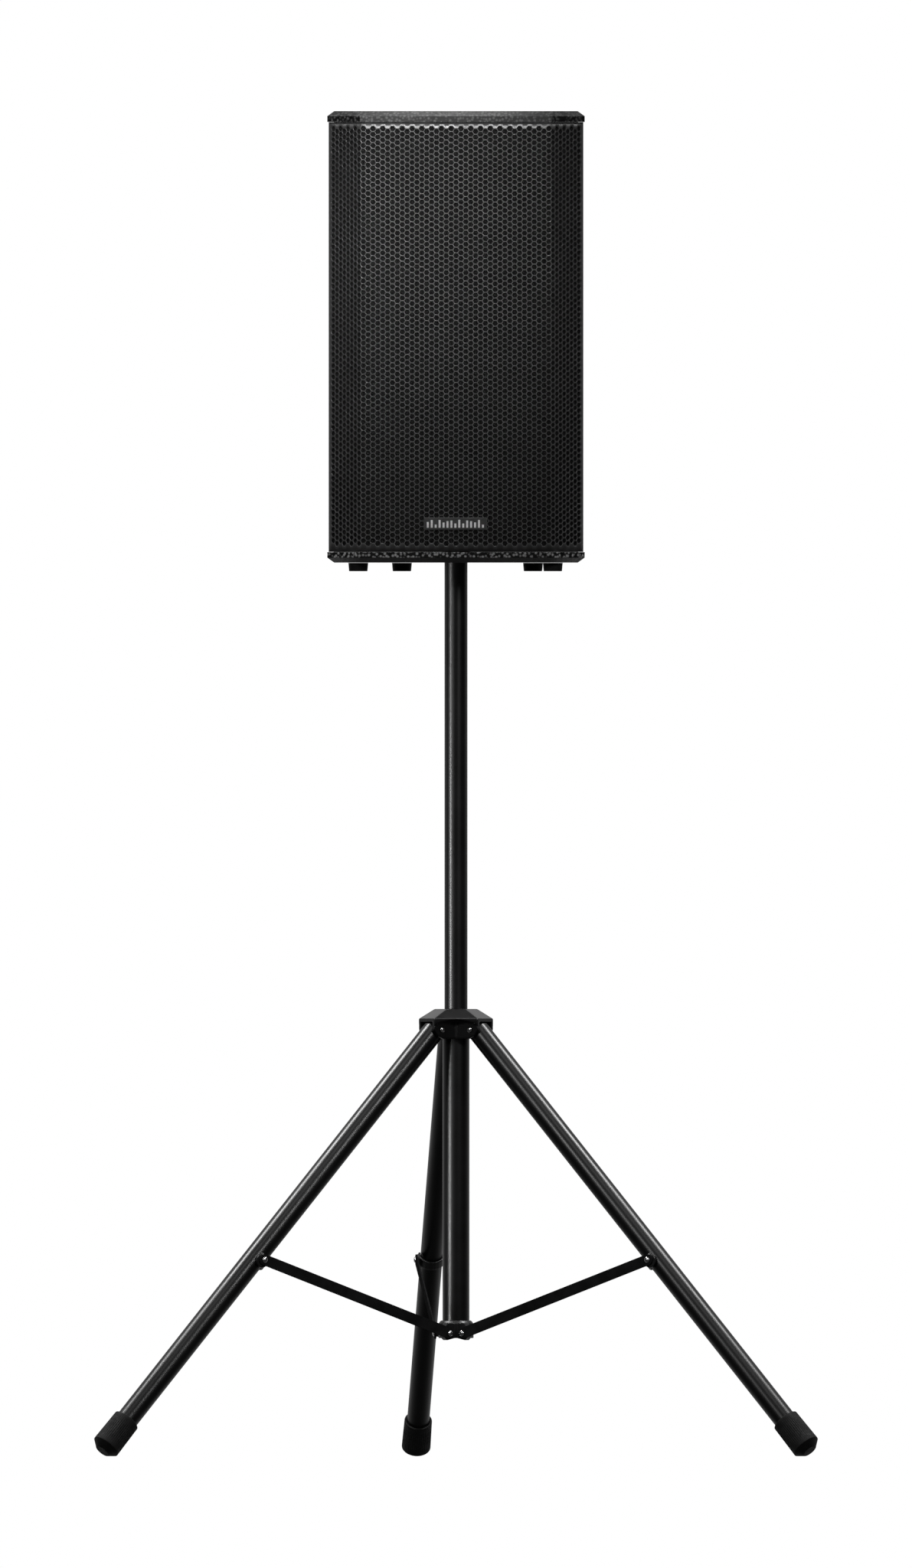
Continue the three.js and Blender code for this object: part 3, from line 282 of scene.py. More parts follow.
def badge():
    finish = Finish("badge", grey(0.03), 0.35, specular=0.5)
    finish.vary_roughness(finish.grain(1.2 * MM, 2, (0.05, 1, 1)), 0.3, 0.42)
    finish.vary_color(finish.grain(1.0 * MM, 2, (0.03, 1, 1)), grey(0.026), grey(0.034))
    finish.add_bump(finish.grain(0.8 * MM, 2, (0.04, 1, 1)), 0.01 * MM, 0.5)
    return finish.material


def cone_paper():
    finish = Finish("cone_paper", grey(0.018), 0.8)
    finish.vary_color(finish.grain(2.5 * MM, 4), grey(0.013), grey(0.026))
    finish.add_bump(finish.grain(1.4 * MM, 4), 0.2 * MM, 0.7)
    return finish.material


def ferrite():
    finish = Finish("ferrite", grey(0.05, 0.004), 0.5, metallic=0.6)
    finish.vary_roughness(finish.grain(4 * MM), 0.42, 0.62)
    finish.vary_color(finish.grain(12 * MM), grey(0.04), grey(0.06, 0.005))
    finish.add_bump(finish.grain(0.9 * MM), 0.08 * MM, 0.5)
    return finish.material


def black_aluminium():
    finish = Finish("black_aluminium", grey(0.02), 0.42, metallic=0.75)
    finish.vary_roughness(finish.grain(1.5 * MM, 2, (0.04, 1, 1)), 0.34, 0.5)
    finish.vary_color(finish.grain(2.0 * MM, 2, (0.03, 1, 1)), grey(0.016), grey(0.024, 0.001))
    finish.add_bump(finish.grain(0.9 * MM, 2, (0.03, 1, 1)), 0.02 * MM, 0.5)
    return finish.material


def circuit_board():
    finish = Finish("circuit_board", (0.012, 0.06, 0.022), 0.45)
    finish.vary_color(finish.cells(6 * MM), (0.03, 0.11, 0.04), (0.01, 0.05, 0.02))
    finish.add_bump(finish.cells(4 * MM), 0.2 * MM, 0.5)
    return finish.material


FINISHES = {
    make.__name__: make()
    for make in (
        powder_coat,
        cast_black,
        strut_coat_painted_sheen,
        textured_paint,
        worn_paint,
        grille_paint,
        foam,
        rubber,
        bright_steel,
        silver_print,
        black_plastic,
        badge,
        cone_paper,
        ferrite,
        black_aluminium,
        circuit_board,
    )
}

# ---------------------------------------------------------------- CAD nodes that stay

BEVELS = {
    "textured_paint": 0.3 * MM,
    "powder_coat": 0.5 * MM,
    "cast_black": 0.9 * MM,
    "black_plastic": 0.8 * MM,
    "black_aluminium": 0.3 * MM,
    "badge": 0.8 * MM,
}
DEFAULT_BEVEL = 0.3 * MM
# the struts get a copy of the stand's coat with painted sheen
FINISH_BY_NODE = {f"strut_{i}": "strut_coat_painted_sheen" for i in (1, 2, 3)}
# the lower panel gets a paler copy of the panel paint as painted light, with painted shade underneath
FINISH_BY_NODE["bottom_panel"] = "worn_paint"
BEVEL_BY_NODE = {"heat_sink": 0.25 * MM, "mains_inlet": 0.3 * MM}
# castings: the size of the cells that they are rebuilt from, and how often those are evened out
CASTINGS = {"leg_yoke": (1.0 * MM, 9), "spreader_hub": (0.7 * MM, 5)}
CASTINGS.update({f"strut_bracket_{i}": (0.7 * MM, 5) for i in (1, 2, 3)})
WELD_DISTANCE = 0.01 * MM
FLAT_ANGLE = math.radians(0.5)  # faces that differ less are one flat face
EASED_ANGLE = math.radians(32)  # edges sharper than this are eased
CREASE_ANGLE = math.radians(38)  # edges sharper than this stay sharp on the added pieces


def polish(node, slot):
    """A CAD node that stays: joined faces, eased edges, smooth round sides and its own finish."""
    shown = NODES[node]
    mesh = shown.data
    custom = mesh.attributes.get("custom_normal")
    if custom:
        mesh.attributes.remove(custom)
    for name in ("sharp_edge", "sharp_face"):
        if mesh.attributes.get(name):
            mesh.attributes.remove(mesh.attributes[name])
    mesh.materials.clear()
    mesh.materials.append(FINISHES[FINISH_BY_NODE.get(node, slot)])
    mesh.polygons.foreach_set("use_smooth", [True] * len(mesh.polygons))
    weld = shown.modifiers.new("weld", "WELD")
    weld.merge_threshold = WELD_DISTANCE
    if node in CASTINGS:
        cell, passes = CASTINGS[node]
        cast = shown.modifiers.new("cast", "REMESH")
        cast.voxel_size = cell
        cast.use_smooth_shade = True
        even = shown.modifiers.new("even", "SMOOTH")
        even.iterations = passes
        return
    flat = shown.modifiers.new("flat", "DECIMATE")
    flat.decimate_type = "DISSOLVE"
    flat.angle_limit = FLAT_ANGLE
    ease = shown.modifiers.new("ease", "BEVEL")
    ease.width = BEVEL_BY_NODE.get(node, BEVELS.get(slot, DEFAULT_BEVEL))
    ease.segments = 3
    ease.limit_method = "ANGLE"
    ease.angle_limit = EASED_ANGLE
    ease.harden_normals = True


SLOT_OF = {row["node"]: row["material_slot"] for row in frame["record"]["subparts"]}
for node_name, slot_name in SLOT_OF.items():
    polish(node_name, slot_name)

# ---------------------------------------------------------------- mesh helpers


def add_piece(name, bm, body, slot, *nodes, finish=None):
    """A new object from a bmesh that rides on a body and may stand for CAD nodes."""
    bmesh.ops.recalc_face_normals(bm, faces=bm.faces)
    mesh = bpy.data.meshes.new(name)
    bm.to_mesh(mesh)
    bm.free()
    mesh.materials.append(FINISHES[finish or slot])
    mesh.polygons.foreach_set("use_smooth", [True] * len(mesh.polygons))
    mesh.set_sharp_from_angle(angle=CREASE_ANGLE)
    piece = bpy.data.objects.new(name, mesh)
    bpy.context.scene.collection.objects.link(piece)
    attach(piece, body)
    if nodes:
        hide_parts(*nodes)
    return piece


def basis(origin, x_axis, y_axis, z_axis):
    """The matrix that places a shape drawn in its own axes."""
    rows = [[x_axis[i], y_axis[i], z_axis[i], origin[i]] for i in range(3)]
    return Matrix([*rows, [0, 0, 0, 1]])


def facing(origin, direction, up=(0, 0, 1)):
    """A frame at origin whose own Z runs along direction."""
    z_axis = Vector(direction).normalized()
    x_axis = Vector(up).cross(z_axis)
    if x_axis.length < 1e-6:
        x_axis = Vector((1, 0, 0))
    x_axis.normalize()
    return basis(origin, x_axis, z_axis.cross(x_axis), z_axis)


def rounded(profile, radius, steps=4):
    """A profile with each inner corner replaced by an arc; short sides get a smaller one."""
    points = [Vector(p) for p in profile]
    made = [points[0]]
    for before, corner, after in zip(points, points[1:], points[2:]):
        to_before, to_after = before - corner, after - corner
        half = to_before.angle(to_after) / 2
        reach = min(radius / math.tan(half), to_before.length * 0.45, to_after.length * 0.45)
        start = corner + to_before.normalized() * reach
        end = corner + to_after.normalized() * reach
        for i in range(steps + 1):
            t = i / steps
            made.append(start * (1 - t) ** 2 + corner * 2 * t * (1 - t) + end * t * t)
    made.append(points[-1])
    return made


def lathe(bm, profile, sides, place, ripple=None):
    """Turns [radius, height] points about the frame's Z.

    ripple(radius, height) gives the depth of the ribs there and their number.
    """
    rings = []
    for radius, height in profile:
        if radius < 1e-7:
            rings.append([bm.verts.new(place @ Vector((0, 0, height)))])
            continue
        ring = []
        for i in range(sides):
            angle = math.tau * i / sides
            depth, count = ripple(radius, height) if ripple else (0, 0)
            reach = radius - depth * (0.5 - 0.5 * math.cos(count * angle))
            ring.append(
                bm.verts.new(
                    place @ Vector((reach * math.cos(angle), reach * math.sin(angle), height))
                )
            )
        rings.append(ring)
    for low, high in zip(rings, rings[1:]):
        bridge(bm, low, high)
    return rings


def bridge(bm, low, high):
    """Joins two closed loops with faces; a loop of one vertex is a tip."""
    count = max(len(low), len(high))
    for i in range(count):
        j = (i + 1) % count
        corners = [low[i % len(low)], low[j % len(low)], high[j % len(high)], high[i % len(high)]]
        unique = list(dict.fromkeys(corners))
        if len(unique) > 2:
            bm.faces.new(unique)


def closed_lathe(bm, profile, sides, place, ripple=None):
    """The same for a ring section, whose last point joins its first."""
    rings = lathe(bm, profile, sides, place, ripple)
    bridge(bm, rings[-1], rings[0])


def plate(bm, width, height, thickness, place):
    """A rectangle in the frame's XY, raised along Z, with its outer edge eased."""
    ease = min(thickness, width, height) / 4
    loops = []
    for z, inset in ((0, 0), (thickness - ease, 0), (thickness, ease)):
        x, y = width / 2 - inset, height / 2 - inset
        corners = ((x, y), (-x, y), (-x, -y), (x, -y))
        loops.append([bm.verts.new(place @ Vector((*corner, z))) for corner in corners])
    for low, high in zip(loops, loops[1:]):
        bridge(bm, low, high)
    bm.faces.new(loops[0])
    bm.faces.new(loops[-1])


# ---------------------------------------------------------------- tubes of the stand

TUBE_SIDES = 72


def tube_profile(radius, wall, low, high, ease=0.5 * MM):
    return [
        (radius - wall, low),
        (radius - ease, low),
        (radius, low + ease),
        (radius, high - ease),
        (radius - ease, high),
        (radius - wall, high),
    ]


def upright_tube(node, body, low, high):
    bm = bmesh.new()
    radius = (high.x - low.x) / 2
    profile = tube_profile(radius, TUBE_WALL, low.z, high.z)
    closed_lathe(bm, profile, TUBE_SIDES, Matrix.Translation(AXIS))
    add_piece(f"{node}_round", bm, body, "powder_coat", node)


upright_tube("column_tube", "column", COLUMN_LOW, COLUMN_HIGH)
upright_tube("pole_tube", "pole", POLE_LOW, POLE_HIGH)


def leg_axes(number):
    """A leg's hinge point, its outward direction and its sideways direction."""
    joint = JOINTS[f"leg_{number}_fold"]
    sideways = Vector(joint["axis"]).normalized()
    return Vector(joint["pos_m"]), sideways.cross(Vector((0, 0, 1))), sideways


def leg_frame(number):
    """Z down the leg, X towards the inside of the stand, Y sideways."""
    pivot, outward, sideways = leg_axes(number)
    up = Vector((0, 0, 1))
    down_leg = outward * math.sin(LEG_TILT) - up * math.cos(LEG_TILT)
    inside = -outward * math.cos(LEG_TILT) - up * math.sin(LEG_TILT)
    return basis(pivot, inside, sideways, down_leg)


def foot_places():
    height = JOINTS["leg_1_fold"]["pos_m"][2]
    edge = (height - FOOT_RADIUS * math.sin(LEG_TILT)) / math.cos(LEG_TILT)
    tip = (height - FOOT_TIP_RADIUS * math.sin(LEG_TILT)) / math.cos(LEG_TILT)
    return edge - FOOT_LENGTH, edge, tip


FOOT_START, FOOT_EDGE, FOOT_TIP = foot_places()
LEG_END = FOOT_EDGE - LEG_SHORT_OF_EDGE


def leg_tube(number):
    bm = bmesh.new()
    profile = tube_profile(LEG_RADIUS, TUBE_WALL, LEG_START, LEG_END)
    closed_lathe(bm, profile, TUBE_SIDES, leg_frame(number))
    add_piece(f"leg_tube_{number}_round", bm, f"leg_{number}", "powder_coat", f"leg_tube_{number}")


FOOT_RIBS = 44
RIB_DEPTH = 0.55 * MM
RIB_MARGIN = 5 * MM  # plain at each end of the foot
RIB_FADE = 4 * MM
FOOT_POCKET = 8 * MM  # how far the bore is modelled inside the foot
FOOT_STEPS = 14


def foot_ripple(radius, height):
    """Fine ribs run along the middle of the foot and fade towards both ends."""
    if radius < FOOT_TOP_RADIUS - 1 * MM:
        return 0, 0
    start, end = FOOT_START + RIB_MARGIN, FOOT_EDGE - RIB_MARGIN
    fade = min(1, max(0, (height - start) / RIB_FADE), max(0, (end - height) / RIB_FADE))
    return RIB_DEPTH * fade, FOOT_RIBS


def leg_foot(number):
    bm = bmesh.new()
    bore = LEG_RADIUS + GAP
    taper = FOOT_TOP_RADIUS - FOOT_RADIUS
    side = [
        (FOOT_RADIUS + taper * i / FOOT_STEPS, FOOT_EDGE - FOOT_LENGTH * i / FOOT_STEPS)
        for i in range(1, FOOT_STEPS)
    ]
    outline = rounded(
        [(0, FOOT_TIP), (FOOT_TIP_RADIUS, FOOT_TIP), (FOOT_RADIUS, FOOT_EDGE), side[0]], 1.2 * MM
    )
    rim = rounded(
        [side[-1], (FOOT_TOP_RADIUS, FOOT_START), (bore, FOOT_START), (bore, FOOT_START + FOOT_POCKET)],
        1.0 * MM,
    )
    profile = [*outline, *side[1:-1], *rim, (0, FOOT_START + FOOT_POCKET)]
    lathe(bm, profile, FOOT_RIBS * 4, leg_frame(number), foot_ripple)
    add_piece(f"leg_foot_{number}_ribbed", bm, f"leg_{number}", "rubber", f"leg_foot_{number}")


# ---------------------------------------------------------------- rivets


RIVET_HEIGHT = 2.3 * MM
RIVET_SIDES = 32
RIVET_RIM = 0.5 * MM
RIVET_SHANK = 3 * MM
LEG_RIVET_RADIUS = 4.2 * MM
HUB_RIVET_RADIUS = 4.4 * MM
STRUT_RIVET_RADIUS = 4.6 * MM
STRUT_RIVET_LIFT = 0.1 * MM


def dome(radius, height, base, shank):
    """The profile of a rivet: a shank up to base, then a domed head."""
    arc = [
        (radius * math.cos(t * math.pi / 2), base + RIVET_RIM + height * math.sin(t * math.pi / 2))
        for t in (i / 8 for i in range(9))
    ]
    return [(shank, base - RIVET_SHANK), (shank, base), (radius - GAP, base), *arc[:-1], (0, arc[-1][1])]


def rivet(bm, centre, direction, base, radius):
    lathe(bm, dome(radius, RIVET_HEIGHT, base, radius * 0.6), RIVET_SIDES, facing(centre, direction))


def leg_pin(number):
    bm = bmesh.new()
    pivot, _, sideways = leg_axes(number)
    for turn in (-1, 1):
        rivet(bm, pivot, sideways * turn, YOKE_HALF_WIDTH + GAP, LEG_RIVET_RADIUS)
    add_piece(f"leg_rivets_{number}", bm, "column", "bright_steel", f"leg_pin_{number}")


def strut_pins(number):
    """The rivet at the hub, and the one at the strut's outer end, which moves with the strut."""
    side = STRUT_SIDES[number - 1]
    pivot, outward, sideways = leg_axes(number)
    base = HUB_HALF_WIDTH + GAP + STRUT_THICKNESS
    hub_point = Vector(JOINTS[f"strut_{number}_hinge"]["pos_m"])
    bm = bmesh.new()
    rivet(bm, hub_point, sideways * side, base + GAP, HUB_RIVET_RADIUS)
    add_piece(f"hub_rivet_{number}", bm, "hub", "bright_steel", f"hub_pin_{number}")
    leg_point = leg_frame(number) @ Vector((STRUT_INSIDE_AXIS, 0, STRUT_ALONG_LEG))
    bm = bmesh.new()
    rivet(bm, leg_point, sideways * side, base + STRUT_RIVET_LIFT, STRUT_RIVET_RADIUS)
    add_piece(f"strut_rivet_{number}", bm, f"strut_{number}", "bright_steel")


for leg_number in (1, 2, 3):
    leg_tube(leg_number)
    leg_foot(leg_number)
    leg_pin(leg_number)
    strut_pins(leg_number)

# ---------------------------------------------------------------- clamp knob


GRIP_START = 36 * MM  # from the pole's axis
GRIP_END = 56 * MM
GRIP_RADIUS = 13.5 * MM
GRIP_CAP_RADIUS = 8.5 * MM
GRIP_CAP_HEIGHT = 2 * MM
LOBES = 5
LOBE_DEPTH = 3 * MM
LOBES_BEYOND = 9 * MM  # the cap inside this radius is round
CLAMP_SCREW_RADIUS = 5 * MM


def clamp_knob():
    """A lobed grip with a rounded rim and a plain cap, on the clamp screw."""
    joint = JOINTS["clamp_knob_turn"]
    place = facing(AXIS + Vector((0, 0, joint["pos_m"][2])), Vector(joint["axis"]))
    cap_top = GRIP_END + GRIP_CAP_HEIGHT
    body = rounded(
        [
            (0, GRIP_START),
            (GRIP_RADIUS - 1.5 * MM, GRIP_START),
            (GRIP_RADIUS, GRIP_END - 2 * MM),
            (GRIP_CAP_RADIUS, GRIP_END),
            (GRIP_CAP_RADIUS - 2 * MM, cap_top),
            (0, cap_top),
        ],
        1.6 * MM,
    )
    bm = bmesh.new()

    def lobes(radius, _):
        return (LOBE_DEPTH, LOBES) if radius > LOBES_BEYOND else (0, 0)

    lathe(bm, body, 80, place, lobes)
    screw = [(CLAMP_SCREW_RADIUS, POLE_RADIUS + GAP), (CLAMP_SCREW_RADIUS, GRIP_START + 1 * MM)]
    lathe(bm, screw, 24, place)
    add_piece("clamp_knob_grip", bm, "clamp_knob", "black_plastic", "pole_clamp_knob")


clamp_knob()

# ---------------------------------------------------------------- grille and foam


def on_front(along, height, inset=0.0):
    """A point of the bent front, by its distance along the sheet from the middle, its height and depth."""
    reach = abs(along)
    if reach <= BEND_START:
        x, y, turn = reach, 0, 0
    elif reach <= BEND_END:
        turn = (reach - BEND_START) / BEND_RADIUS
        x = BEND_START + BEND_RADIUS * math.sin(turn)
        y = BEND_RADIUS * (1 - math.cos(turn))
    else:
        turn = FACET_ANGLE
        run = reach - BEND_END
        x = BEND_START + BEND_RADIUS * math.sin(turn) + run * math.cos(turn)
        y = BEND_RADIUS * (1 - math.cos(turn)) + run * math.sin(turn)
    x -= inset * math.sin(turn)
    y += inset * math.cos(turn)
    return Vector((math.copysign(x, along), GRILLE_LOW.y + y, height))


HOLE_PITCH = 8.6 * MM  # from one hole to the next above it
HOLE_ACROSS = 7.2 * MM  # between its flat sides
HOLE_COLUMNS = 27  # each side of the middle one
HOLE_ROWS = 74
PLAIN_BELOW = 9.1 * MM
SHADOW_GAP = 1.0 * MM  # open seam under the top panel
CELL_SIDE = HOLE_PITCH / math.sqrt(3)
HEXAGON = ((2, 0), (1, 1), (-1, 1), (-2, 0), (-1, -1), (1, -1))


def grille_mesh():
    """Staggered columns of hexagons, each a ring of six quads round its hole, with plain borders."""
    bm = bmesh.new()
    known = {}
    first = GRILLE_LOW.z + PLAIN_BELOW + HOLE_ACROSS / 2
    edges = {
        "left": -SHEET_HALF,
        "right": SHEET_HALF,
        "top": GRILLE_HIGH.z - SHADOW_GAP,
        "bottom": GRILLE_LOW.z + SHADOW_GAP / 2,
    }

    def place(i, j):
        return (
            edges[i] if i in edges else i * CELL_SIDE / 2,
            edges[j] if j in edges else first + j * HOLE_PITCH / 2,
        )

    def corner(i, j):
        if (i, j) not in known:
            known[i, j] = bm.verts.new(on_front(*place(i, j)))
        return known[i, j]

    def border(outline, toward):
        for (i0, j0), (i1, j1) in zip(outline, outline[1:]):
            bm.faces.new([corner(i0, j0), corner(i1, j1), corner(*toward(i1, j1)), corner(*toward(i0, j0))])

    share = HOLE_ACROSS / HOLE_PITCH
    columns = range(-HOLE_COLUMNS, HOLE_COLUMNS + 1)
    for k in columns:
        for row in range(HOLE_ROWS):
            middle = (3 * k, 2 * row + k % 2)
            outer = [corner(middle[0] + i, middle[1] + j) for i, j in HEXAGON]
            inner = [
                bm.verts.new(on_front(*place(middle[0] + i * share, middle[1] + j * share)))
                for i, j in HEXAGON
            ]
            bridge(bm, outer, inner)
    tops = [(3 * k + i, 2 * HOLE_ROWS - 1 + k % 2) for k in columns for i in (-1, 1)]
    bottoms = [(3 * k + i, k % 2 - 1) for k in columns for i in (-1, 1)]
    border(tops, lambda i, j: (i, "top"))
    border(bottoms, lambda i, j: (i, "bottom"))
    for sign, side in ((-1, "left"), (1, "right")):
        k = sign * HOLE_COLUMNS
        outline = [(3 * k + sign, k % 2 - 1)]
        for row in range(HOLE_ROWS):
            j = 2 * row + k % 2
            outline += [(3 * k + 2 * sign, j), (3 * k + sign, j + 1)]
        border(outline, lambda i, j, side=side: (side, j))
        for (i, j), end in ((outline[0], "bottom"), (outline[-1], "top")):
            bm.faces.new([corner(i, j), corner(side, j), corner(side, end), corner(i, end)])
    return bm


SHEET_THICKNESS = 1.4 * MM


def grille():
    piece = add_piece("grille_sheet", grille_mesh(), "speaker", "grille_paint", "grille")
    if sum(face.normal.y * face.area for face in piece.data.polygons) > 0:
        piece.data.flip_normals()
    sheet = piece.modifiers.new("sheet", "SOLIDIFY")
    sheet.thickness = SHEET_THICKNESS
    sheet.offset = -1


FOAM_FRONT = 1.9 * MM
FOAM_THICKNESS = 5 * MM
FOAM_STEP = 5 * MM
FOAM_MARGIN = 3 * MM
FOAM_WAVE = 22 * MM
FOAM_UNEVEN = 0.25 * MM


def foam_sheet():
    """A slightly uneven sheet of foam pressed against the back of the grille."""
    across = round(2 * SHEET_HALF / FOAM_STEP)
    upward = round((GRILLE_HIGH.z - GRILLE_LOW.z) / FOAM_STEP)
    bm = bmesh.new()
    layers = [
        [
            [bm.verts.new(foam_point(i / across, j / upward, depth)) for i in range(across + 1)]
            for j in range(upward + 1)
        ]
        for depth in (FOAM_FRONT, FOAM_FRONT + FOAM_THICKNESS)
    ]
    for rows in layers:
        for low, high in zip(rows, rows[1:]):
            for i in range(across):
                bm.faces.new([low[i], low[i + 1], high[i + 1], high[i]])
    bridge(bm, foam_rim(layers[0]), foam_rim(layers[1]))
    piece = add_piece("foam_sheet", bm, "speaker", "foam", "grille_foam")


def foam_point(u, v, depth):
    """A point of the foam by its shares of the width and height; the face swells a little in places."""
    along = (2 * u - 1) * (SHEET_HALF - FOAM_MARGIN)
    height = GRILLE_LOW.z + v * (GRILLE_HIGH.z - GRILLE_LOW.z)
    uneven = noise.noise(Vector((along, height, depth)) / FOAM_WAVE) * FOAM_UNEVEN
    return on_front(along, height, depth + max(0, uneven))


def foam_rim(rows):
    """The border of a grid of vertices, in order."""
    left = [row[0] for row in rows[1:-1]]
    right = [row[-1] for row in rows[1:-1]]
    return [*rows[0], *right, *reversed(rows[-1]), *reversed(left)]


grille()
foam_sheet()

# ---------------------------------------------------------------- badge

BADGE_LOW, BADGE_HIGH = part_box("badge_plate")
BARS = 15
BAR_WIDTH = 3.0 * MM
BAR_TALLEST = 12 * MM
BAR_THICKNESS = 0.25 * MM
BADGE_MARGIN = 6 * MM


def badge_bars():
    """A plain pattern of level-meter bars stands where a badge would carry its name."""
    bm = bmesh.new()
    middle = (BADGE_LOW + BADGE_HIGH) / 2
    pitch = (BADGE_HIGH.x - BADGE_LOW.x - 2 * BADGE_MARGIN) / (BARS - 1)
    for i in range(BARS):
        tall = BAR_TALLEST * (0.35 + 0.65 * abs(math.sin(1.3 * i + 0.6)))
        foot = Vector((middle.x + (i - (BARS - 1) / 2) * pitch, BADGE_LOW.y, middle.z))
        place = facing(foot + Vector((0, 0, (tall - BAR_TALLEST) / 2)), (0, -1, 0))
        plate(bm, BAR_WIDTH, tall, BAR_THICKNESS, place)
    add_piece("badge_bars", bm, "speaker", None, finish="silver_print")


badge_bars()

# ---------------------------------------------------------------- cabinet feet


FOOT_SCREW_RADIUS = 4 * MM
FOOT_SCREW_DEPTH = 4 * MM
FOOT_HOLE_RADIUS = 5 * MM
FOOT_TAPER = 1.1 * MM


def cabinet_foot(number):
    """A tapered rubber foot with a screw sunk into its middle."""
    name = f"cabinet_foot_{number}"
    low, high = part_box(name)
    top = (high.x - low.x) / 2
    centre = Vector(((low.x + high.x) / 2, (low.y + high.y) / 2, high.z))
    height = high.z - low.z
    bm = bmesh.new()
    profile = rounded(
        [
            (0, -FOOT_SCREW_DEPTH),
            (FOOT_HOLE_RADIUS, -FOOT_SCREW_DEPTH),
            (FOOT_HOLE_RADIUS, -height),
            (top - FOOT_TAPER, -height),
            (top, -0.2 * MM),
            (top, 0),
            (0, 0),
        ],
        1.3 * MM,
    )
    lathe(bm, profile, 48, Matrix.Translation(centre))
    add_piece(f"{name}_moulded", bm, "speaker", "rubber", name)
    bm = bmesh.new()
    screw_head(bm, centre + Vector((0, 0, -FOOT_SCREW_DEPTH)), (0, 0, -1), FOOT_SCREW_RADIUS)
    add_piece(f"{name}_screw", bm, "speaker", "bright_steel")


def screw_head(bm, centre, direction, radius):
    """A pan head: a low dome with a small round recess in its middle."""
    profile = [
        (0, 0),
        (radius, 0),
        (radius, 0.5 * MM),
        (radius * 0.86, 1.1 * MM),
        (radius * 0.3, 1.25 * MM),
        (radius * 0.16, 0.6 * MM),
        (0, 0.6 * MM),
    ]
    lathe(bm, profile, 24, facing(centre, direction))


for foot_number in (1, 2, 3, 4):
    cabinet_foot(foot_number)

# ---------------------------------------------------------------- dark sheets in the cabinet's seams, painted shade

# the cabinet's plan, from the axis of the pole
PLAN_SIDE = 194 * MM
PLAN_FRONT = -185 * MM
PLAN_SIDE_END = -85 * MM  # behind here the sides run in towards the rear
PLAN_REAR = 190 * MM
PLAN_REAR_LEFT = -105 * MM
PLAN_REAR_RIGHT = 150 * MM
CABINET_PLAN = [
    Vector((-FRONT_HALF_WIDTH, PLAN_FRONT, 0)),
    Vector((FRONT_HALF_WIDTH, PLAN_FRONT, 0)),
    Vector((PLAN_SIDE, PLAN_FRONT + FACET_DEPTH, 0)),
    Vector((PLAN_SIDE, PLAN_SIDE_END, 0)),
    Vector((PLAN_REAR_RIGHT, PLAN_REAR, 0)),
    Vector((PLAN_REAR_LEFT, PLAN_REAR, 0)),
    Vector((-PLAN_SIDE, PLAN_SIDE_END, 0)),
    Vector((-PLAN_SIDE, PLAN_FRONT + FACET_DEPTH, 0)),
]
SHADE_SHEET_OUTER, SHADE_SHEET_INNER = 0.96, 0.92  # shares of the plan
SEAM_EASE = 0.02 * MM


def seam_shade_sheet(name, low, high):
    """A thin dark rubber sheet closes the seam between the walls and a panel, as painted shade in the seam."""
    bm = bmesh.new()
    loops = [
        [bm.verts.new(AXIS + corner * share + Vector((0, 0, z))) for corner in CABINET_PLAN]
        for share, z in ((SHADE_SHEET_OUTER, low), (SHADE_SHEET_OUTER, high), (SHADE_SHEET_INNER, high), (SHADE_SHEET_INNER, low))
    ]
    for start, end in zip(loops, [*loops[1:], loops[0]]):
        bridge(bm, start, end)
    add_piece(name, bm, "speaker", None, finish="rubber")


WALL_LOW, WALL_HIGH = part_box("right_wall")
# painted shade: dark sheets in the seams above and below the walls
seam_shade_sheet("top_seal", WALL_HIGH.z + SEAM_EASE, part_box("top_panel")[0].z - SEAM_EASE)
seam_shade_sheet("bottom_seal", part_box("bottom_panel")[1].z + SEAM_EASE, WALL_LOW.z - SEAM_EASE)

# ---------------------------------------------------------------- rear panel

BACK = Vector((0, 1, 0))
PLATE_FACE = PLATE_HIGH.y
PANEL_SCREW_EDGE = 8 * MM
PANEL_SCREW_RADIUS = 3.2 * MM
SCREWS_UP_A_SIDE = 5
KNOB_SHAFT_RADIUS = 3 * MM
FLUTE_DEPTH = 0.6 * MM
LEVEL_FLUTES = 16
MENU_FLUTES = 22
TICKS = 11
TICK_START = -150  # degrees
TICK_STEP = 30
TICK_CIRCLE = 12 * MM
CONTACTS = 3
CONTACT_CIRCLE = 4.2 * MM
CONTACT_RADIUS = 1.2 * MM
SOCKET_FLANGE = 3 * MM
SOCKET_MOUTH_RADIUS = 9.2 * MM
SOCKET_SCREW_PLACE = (11.6 * MM, 4.5 * MM)
LAMP_BELOW_MENU = 54 * MM


def on_panel(x, z, out=0.0):
    """A frame on the rear panel whose Z points out of it."""
    return facing((x, PLATE_FACE + out, z), BACK)


def panel_screws():
    bm = bmesh.new()
    rise = (PLATE_HIGH.z - PLATE_LOW.z - 2 * PANEL_SCREW_EDGE) / (SCREWS_UP_A_SIDE - 1)
    for i in range(SCREWS_UP_A_SIDE):
        z = PLATE_LOW.z + PANEL_SCREW_EDGE + i * rise
        for x in (PLATE_LOW.x + PANEL_SCREW_EDGE, PLATE_HIGH.x - PANEL_SCREW_EDGE):
            screw_head(bm, (x, PLATE_FACE, z), BACK, PANEL_SCREW_RADIUS)
    add_piece("panel_screws", bm, "speaker", "ferrite")


